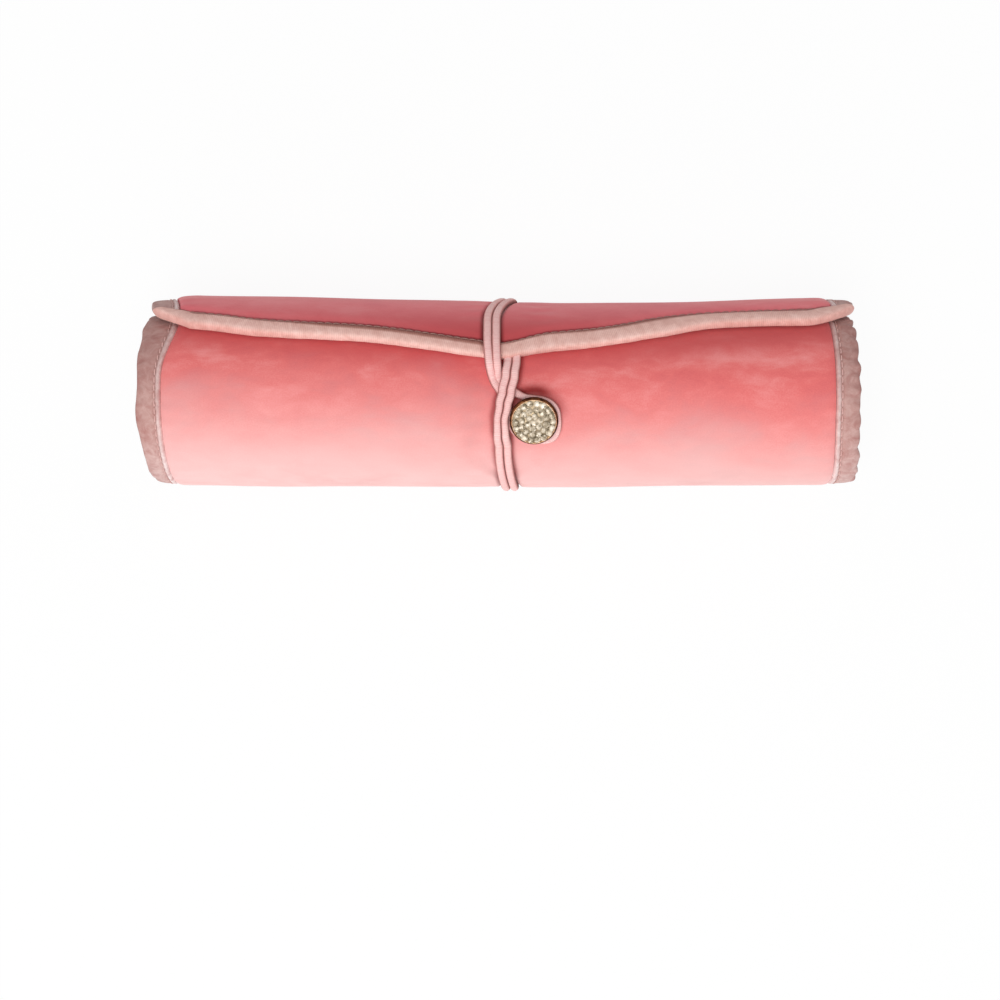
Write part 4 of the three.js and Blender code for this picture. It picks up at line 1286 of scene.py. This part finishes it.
stones = np.stack([u, v, stone[..., 2] + u * tilt[:, 0] + v * tilt[:, 1]], -1)
stones += np.stack([reach * np.cos(turn), reach * np.sin(turn), crown], -1)[:, None, None]
parts = [skins(standing(stones, *BUTTON_AT), stones), hard_part(turned(BED, circle(48)), BUTTON_AT)]
pave = piece("button_pave", parts, [crystal, bronze], sharp=12)
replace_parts(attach(pave, "button"), "button_stones")
print("stones", many)

# %% Button thread
# Thread shank: four turns of thread wound on each other, a little loose.
SHANK_TURNS = 4
SHANK_REACH = 1.2
SHANK_FOOT, SHANK_HEIGHT = -1.15, 1.1
SHANK_THREAD = 0.00036
wind = np.linspace(0, 2 * np.pi * SHANK_TURNS, 120)
winding = np.stack([np.cos(wind), np.sin(wind)], -1) * SHANK_REACH
winding = np.concatenate([winding, (SHANK_FOOT + SHANK_HEIGHT * wind / wind[-1])[:, None]], -1)
path = standing(winding, *BUTTON_AT)
out = standing(winding + [0, 0, 1], *BUTTON_AT) - path
thick = np.full(len(wind), SHANK_THREAD)
shank = piece("button_thread", [skin(*tube_along(path, out, thick, thick, sides=8))], [thread])
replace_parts(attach(shank, "crown"), "button_shank")
print("shank thread, mm:", round(1000 * distance_along(path)[-1]))

# %% [markdown]
# ## Zip pockets
# Two pockets lie on the lining. Each has a satin panel, a zip tape with a nylon coil, a metal slider and
# a pull. An Array modifier could repeat one tooth of the coil. The real coil is one wound thread, so it
# is a helix here too. The panel crosses a fold, so it is made in two lengths, one on each side of it.

# %% Pocket panels
ON_LINING = LINING_FOOT + CLEAR
ZIP_HALF = 95.0
CLOTH_THICK = 0.6
POCKETS = {1: [(2, 208.4, 236.0), (3, 236.0, 266.0)], 2: [(6, 430.4, 460.0), (7, 460.0, 487.6)]}
x_pocket = np.linspace(-ZIP_HALF, ZIP_HALF, 121)


def layer(xs, angles, top, foot, marks):
    """A shell between two depths below the velvet's face."""
    upper, lower = (place(xs, angles, turn_radius(angles) - depth) for depth in (top, foot))
    return shell(upper, lower, marks)


def pocket_part(first, last):
    """A satin layer on the lining between two angles, with soft ripples of loose cloth."""
    angles = np.linspace(first, last, 22)[:, None] + 0 * x_pocket
    xs = np.broadcast_to(x_pocket, angles.shape)
    s = along(angles)
    ripple = 0.09 * np.sin(xs / 5.3 + 1.2 * np.sin(s / 8)) + 0.06 * np.sin(s / 2.9 + np.sin(xs / 15))
    marks = cloth_marks(xs, s + 300, 0.0)
    return layer(xs, angles, ON_LINING - 0.25, ON_LINING + CLOTH_THICK - ripple, marks)


for number, cuts in POCKETS.items():
    for word, (index, first, last) in zip(("low", "high"), cuts):
        made = piece(f"pocket_{number}_{word}", [pocket_part(first, last)], [satin], sharp=60)
        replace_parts(bend(made, index), f"pocket_panel_{number}")
        width = 2 * ZIP_HALF * MM
        length = math.radians(last - first) * (float(turn_radius((first + last) / 2)) - ON_LINING) * MM
        print(made.name, round(length * 1000, 1), "mm long")

# %% Zip cloth
TAPE_HALF = 4.0
TAPE_GAP = 1.2
# Each zip's body, the angle of the pocket's seam, and the way from there to the zip.
ZIPS = {1: ("front_high", 264.0, 1), 2: ("tuck_1", 432.0, -1)}


def zip_middle(number):
    """The angle of a zip's middle: half a tape and a gap away from the pocket's seam."""
    _, seam, towards = ZIPS[number]
    return seam + towards * float(arc(TAPE_HALF + TAPE_GAP, seam))


def zip_cloth_part(middle):
    """The tape: a flat strip on the lining."""
    across = np.linspace(-TAPE_HALF, TAPE_HALF, 17)[:, None] + 0 * x_pocket
    angles = middle + arc(across, middle)
    xs = np.broadcast_to(x_pocket, angles.shape)
    return layer(xs, angles, ON_LINING, ON_LINING + CLOTH_THICK, cloth_marks(xs, across, 0.0))


# %% Zip coil
COIL_TURNS = 144
COIL_START, COIL_RUN = -94, 187
COIL_HALF, COIL_HEIGHT = 1.05, 0.26
COIL_RISE = 1.05
COIL_THREAD = 0.0002
# Nylon is smooth and a little shiny, with a speckle of about 1 mm.
coil_nylon = flecked("nylon_coil", 900.0, 2.0, [(0.0, "#c9968f"), (1.0, "#e3b8b0")], 0.0, 0.35)


def coil_part(middle):
    """The coil: a flattened helix, one turn every 1.3 mm."""
    t = np.linspace(0, 2 * np.pi * COIL_TURNS, COIL_TURNS * 12)
    x = COIL_START + COIL_RUN * t / t[-1]
    a = middle + arc(COIL_HALF * np.cos(t), middle)
    depth = ON_LINING + COIL_RISE + COIL_HEIGHT * np.sin(t)
    path, out = path_on_roll(x, a, turn_radius(a) - depth)
    thin = np.full(len(t), COIL_THREAD)
    rings, marks, _ = tube_along(path, out, thin, thin, sides=6)
    return skin(rings, marks)


# %% Zip tapes
for number, (body, _, _) in ZIPS.items():
    middle = zip_middle(number)
    parts = [zip_cloth_part(middle), coil_part(middle)]
    made = piece(f"zip_{number}_tape", parts, [zip_cloth, coil_nylon], sharp=60)
    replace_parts(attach(made, body), f"zip_tape_{number}")
    print(made.name, "at", round(middle, 1), "degrees")

# %% Slider shape
SLIDER_TOP = 1.4
PLATE_HALF = (4.5, 2.5)
ARCH_HALF, ARCH_FOOT, ARCH_RISE = 2.1, 1.2, 2.5
BRIDGE_HALF = (0.75, 0.38)
PLATE = [(HUB, 0.0), (0.9, 0.0), (1.0, 0.35), (1.0, 1.0), (0.86, SLIDER_TOP), (HUB, SLIDER_TOP)]


def slider_shapes():
    """A rounded plate that narrows to one end, and a bridge of oval section bent over it."""
    u, v = superellipse(48, 4.0)
    plate = turned(rounded(PLATE, 0.2), (PLATE_HALF[0] * u, PLATE_HALF[1] * v * (0.8 + 0.2 * u)))
    bow = np.linspace(-1, 1, 25)
    height = ARCH_FOOT + ARCH_RISE * (1 - np.abs(bow) ** 4)
    arch = np.stack([ARCH_HALF * np.sign(bow) * np.abs(bow) ** 0.6, 0 * bow, height], -1)
    ahead = unit(np.gradient(arch, axis=0))
    normal = np.stack([-ahead[:, 2], 0 * bow, ahead[:, 0]], -1)
    c, s = circle(10)
    bridge = arch[:, None] + normal[:, None] * (BRIDGE_HALF[1] * s)[:, None]
    return plate, bridge + np.array([0, 1.0, 0]) * (BRIDGE_HALF[0] * c)[:, None]


# %% Pull shape
EYE = SLIDER_TOP + 0.95
FRAME_X, FRAME_HALF = 1.75, (2.25, 1.75)
FRAME_WIDTH, FRAME_HEIGHT = 0.9, 0.8
TAB_X, TAB_HALF = 8.3, (4.6, 2.2)
# The tab's face is dished inside its edge.
TAB_EDGE = [(HUB, -0.42), (0.9, -0.42), (1.0, -0.2), (1.0, 0.2), (0.9, 0.42)]
TAB_DISH = [(0.72, 0.42), (0.66, 0.3), (HUB, 0.3)]


def ring_tube(outline, width, height, rise):
    """A closed frame: an ellipse carried round a flat outline at one height. First and last rings meet."""
    points = np.concatenate([outline, outline[:1]])
    ahead = np.gradient(points, axis=0)
    ahead[0] = ahead[-1] = outline[1] - outline[-1]
    ahead = unit(ahead)
    beside = np.stack([ahead[:, 1], -ahead[:, 0]], -1)
    c, s = circle(10)
    flat = points[:, None] + beside[:, None] * (c * width / 2)[:, None]
    up = np.broadcast_to(rise + s * height / 2, flat.shape[:2])
    return np.concatenate([flat, up[..., None]], -1)


def pull_shapes():
    """A small frame round the bridge, and a rounded tab beyond it."""
    u, v = superellipse(40, 3.0)
    outline = np.stack([FRAME_X + FRAME_HALF[0] * u, FRAME_HALF[1] * v], -1)
    tapered = (TAB_HALF[0] * u, TAB_HALF[1] * v * (0.86 + 0.14 * u))
    tab = turned(rounded(TAB_EDGE + TAB_DISH, 0.12), tapered)
    return ring_tube(outline, FRAME_WIDTH, FRAME_HEIGHT, EYE), tab + np.array([TAB_X, 0, EYE])


# %% Sliders and pulls
SLIDER_X = 90.5
SLIDER_FOOT = ON_LINING + CLOTH_THICK + 0.9 + CLEAR
for number in ZIPS:
    middle = zip_middle(number)
    at = (SLIDER_X, middle, float(turn_radius(middle)) - SLIDER_FOOT, -1)
    for word, shapes in (("slider", slider_shapes()), ("pull", pull_shapes())):
        made = piece(f"zip_{number}_{word}", [hard_part(s, at) for s in shapes], [gold, gold], sharp=40)
        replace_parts(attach(made, f"{word}_{number}"), f"zip_{word}_{number}")
        print(made.name, len(made.data.polygons), "faces")

# %% [markdown]
# ## Ring bar
# A stuffed satin tube for rings on the innermost panel: sewn down by a strap at its left end, and held by
# a snap at its right end. The cloth twists a little round the stuffing and gathers at both ends. Cloth
# under pressure could be simulated. A tube whose girth is a formula keeps its gathers where they are sewn.

# %% Ring bar
BAR_HALF = 90
BAR_RADIUS = 8.0
BAR_ROUND = 5.0
STRAP_HALF = 5.5
STRAP_THICK = 1.1
BAR_FIRST = FOLDS[-1] + arc(0.15, FOLDS[-1])
BAR_LAST = INNER_END - arc(TAPE_WIDTH + CLEAR, INNER_END)
BAR_ANGLE = float(BAR_FIRST + BAR_LAST) / 2
inner_radius = float(turn_radius(BAR_ANGLE))


def stuffed_tube():
    """A tube along the roll: its girth closes as an ellipse at both ends, with gathers and a twist."""
    x = BAR_HALF * np.sin(np.linspace(-np.pi / 2, np.pi / 2, 181))[:, None]
    t = np.linspace(0, 2 * np.pi, 40, endpoint=False)
    to_end = BAR_HALF - np.abs(x)
    girth = BAR_RADIUS * np.sqrt(1 - np.clip(1 - to_end / BAR_ROUND, 0, 1) ** 2 * 0.85)
    gather = 0.35 * np.exp(-to_end / 9) * np.sin(11 * t)
    twist = 0.1 * np.sin(x / 6.0 + 2 * t)
    size = girth * 0.985 + gather + twist - 0.1
    tube = np.stack(np.broadcast_arrays(x, size * np.cos(t), size * np.sin(t)), -1)
    placed = standing(tube, 0.0, BAR_ANGLE, inner_radius - ON_LINING - BAR_RADIUS)
    return skin(placed, cloth_marks(x, BAR_RADIUS * t, 0.0))


def strap_part(first, last, depth):
    """A sewn strap: a flat strip on the curve of the lining, narrower at its two ends."""
    x = np.linspace(first, last, 31)
    from_middle = np.abs(x - (first + last) / 2) / (abs(last - first) / 2)
    half = STRAP_HALF * (1 - np.clip(from_middle, 0, 1) ** 6 * 0.5)
    across = np.linspace(-1, 1, 15)[:, None] * half
    angles = BAR_ANGLE + arc(across, BAR_ANGLE)
    xs = np.broadcast_to(x, angles.shape)
    return layer(xs, angles, depth, depth + STRAP_THICK, cloth_marks(xs, across, 0.0))


print("ring bar", 2 * BAR_HALF, "mm long at", round(BAR_ANGLE, 1), "degrees")

# %% Bar and snap
STRAP_IN, STRAP_OUT = 80, 102
SOCKET_HEIGHT = 1.6
SNAP_X = 96.0
SNAP_RADIUS = 3.6
SOCKET = [(HUB, 0), (3.5, 0), (3.6, 0.5), (3.3, 1.3), (2.2, 1.55), (1.6, 1.0), (HUB, 0.9)]
STUD = [(HUB, 0), (3.5, 0), (3.55, 0.5), (2.9, 1.0), (1.2, 1.35), (HUB, 1.4)]


def rise_under(depth):
    """How far curved cloth rises beside a flat disc: the disc's radius squared over twice the curve's."""
    return SNAP_RADIUS**2 / (inner_radius - depth) / 2


socket_foot = ON_LINING + rise_under(ON_LINING)
strap_top = socket_foot + SOCKET_HEIGHT + CLEAR
strap_face = strap_top + STRAP_THICK + 0.1
stud_foot = strap_face + CLEAR + rise_under(strap_face)
straps = [strap_part(-STRAP_OUT, -STRAP_IN, ON_LINING), strap_part(STRAP_IN, STRAP_OUT, strap_top)]
ring_bar = piece("ring_bar_stuffed", [stuffed_tube(), *straps], [satin, satin, satin], sharp=60)
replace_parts(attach(ring_bar, "tuck_3"), "ring_bar")
for name, node, profile, depth in (
    ("snap_ring", "snap_socket", rounded(SOCKET, 0.25), socket_foot),
    ("snap_cap", "snap_stud", rounded(STUD, 0.3), stud_foot),
):
    at = (SNAP_X, BAR_ANGLE, inner_radius - depth, -1)
    made = piece(name, [hard_part(turned(profile, circle(36)), at)], [gold], sharp=40)
    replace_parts(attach(made, "tuck_3"), node)
    print(name, round(depth, 2), "mm below the velvet's face")
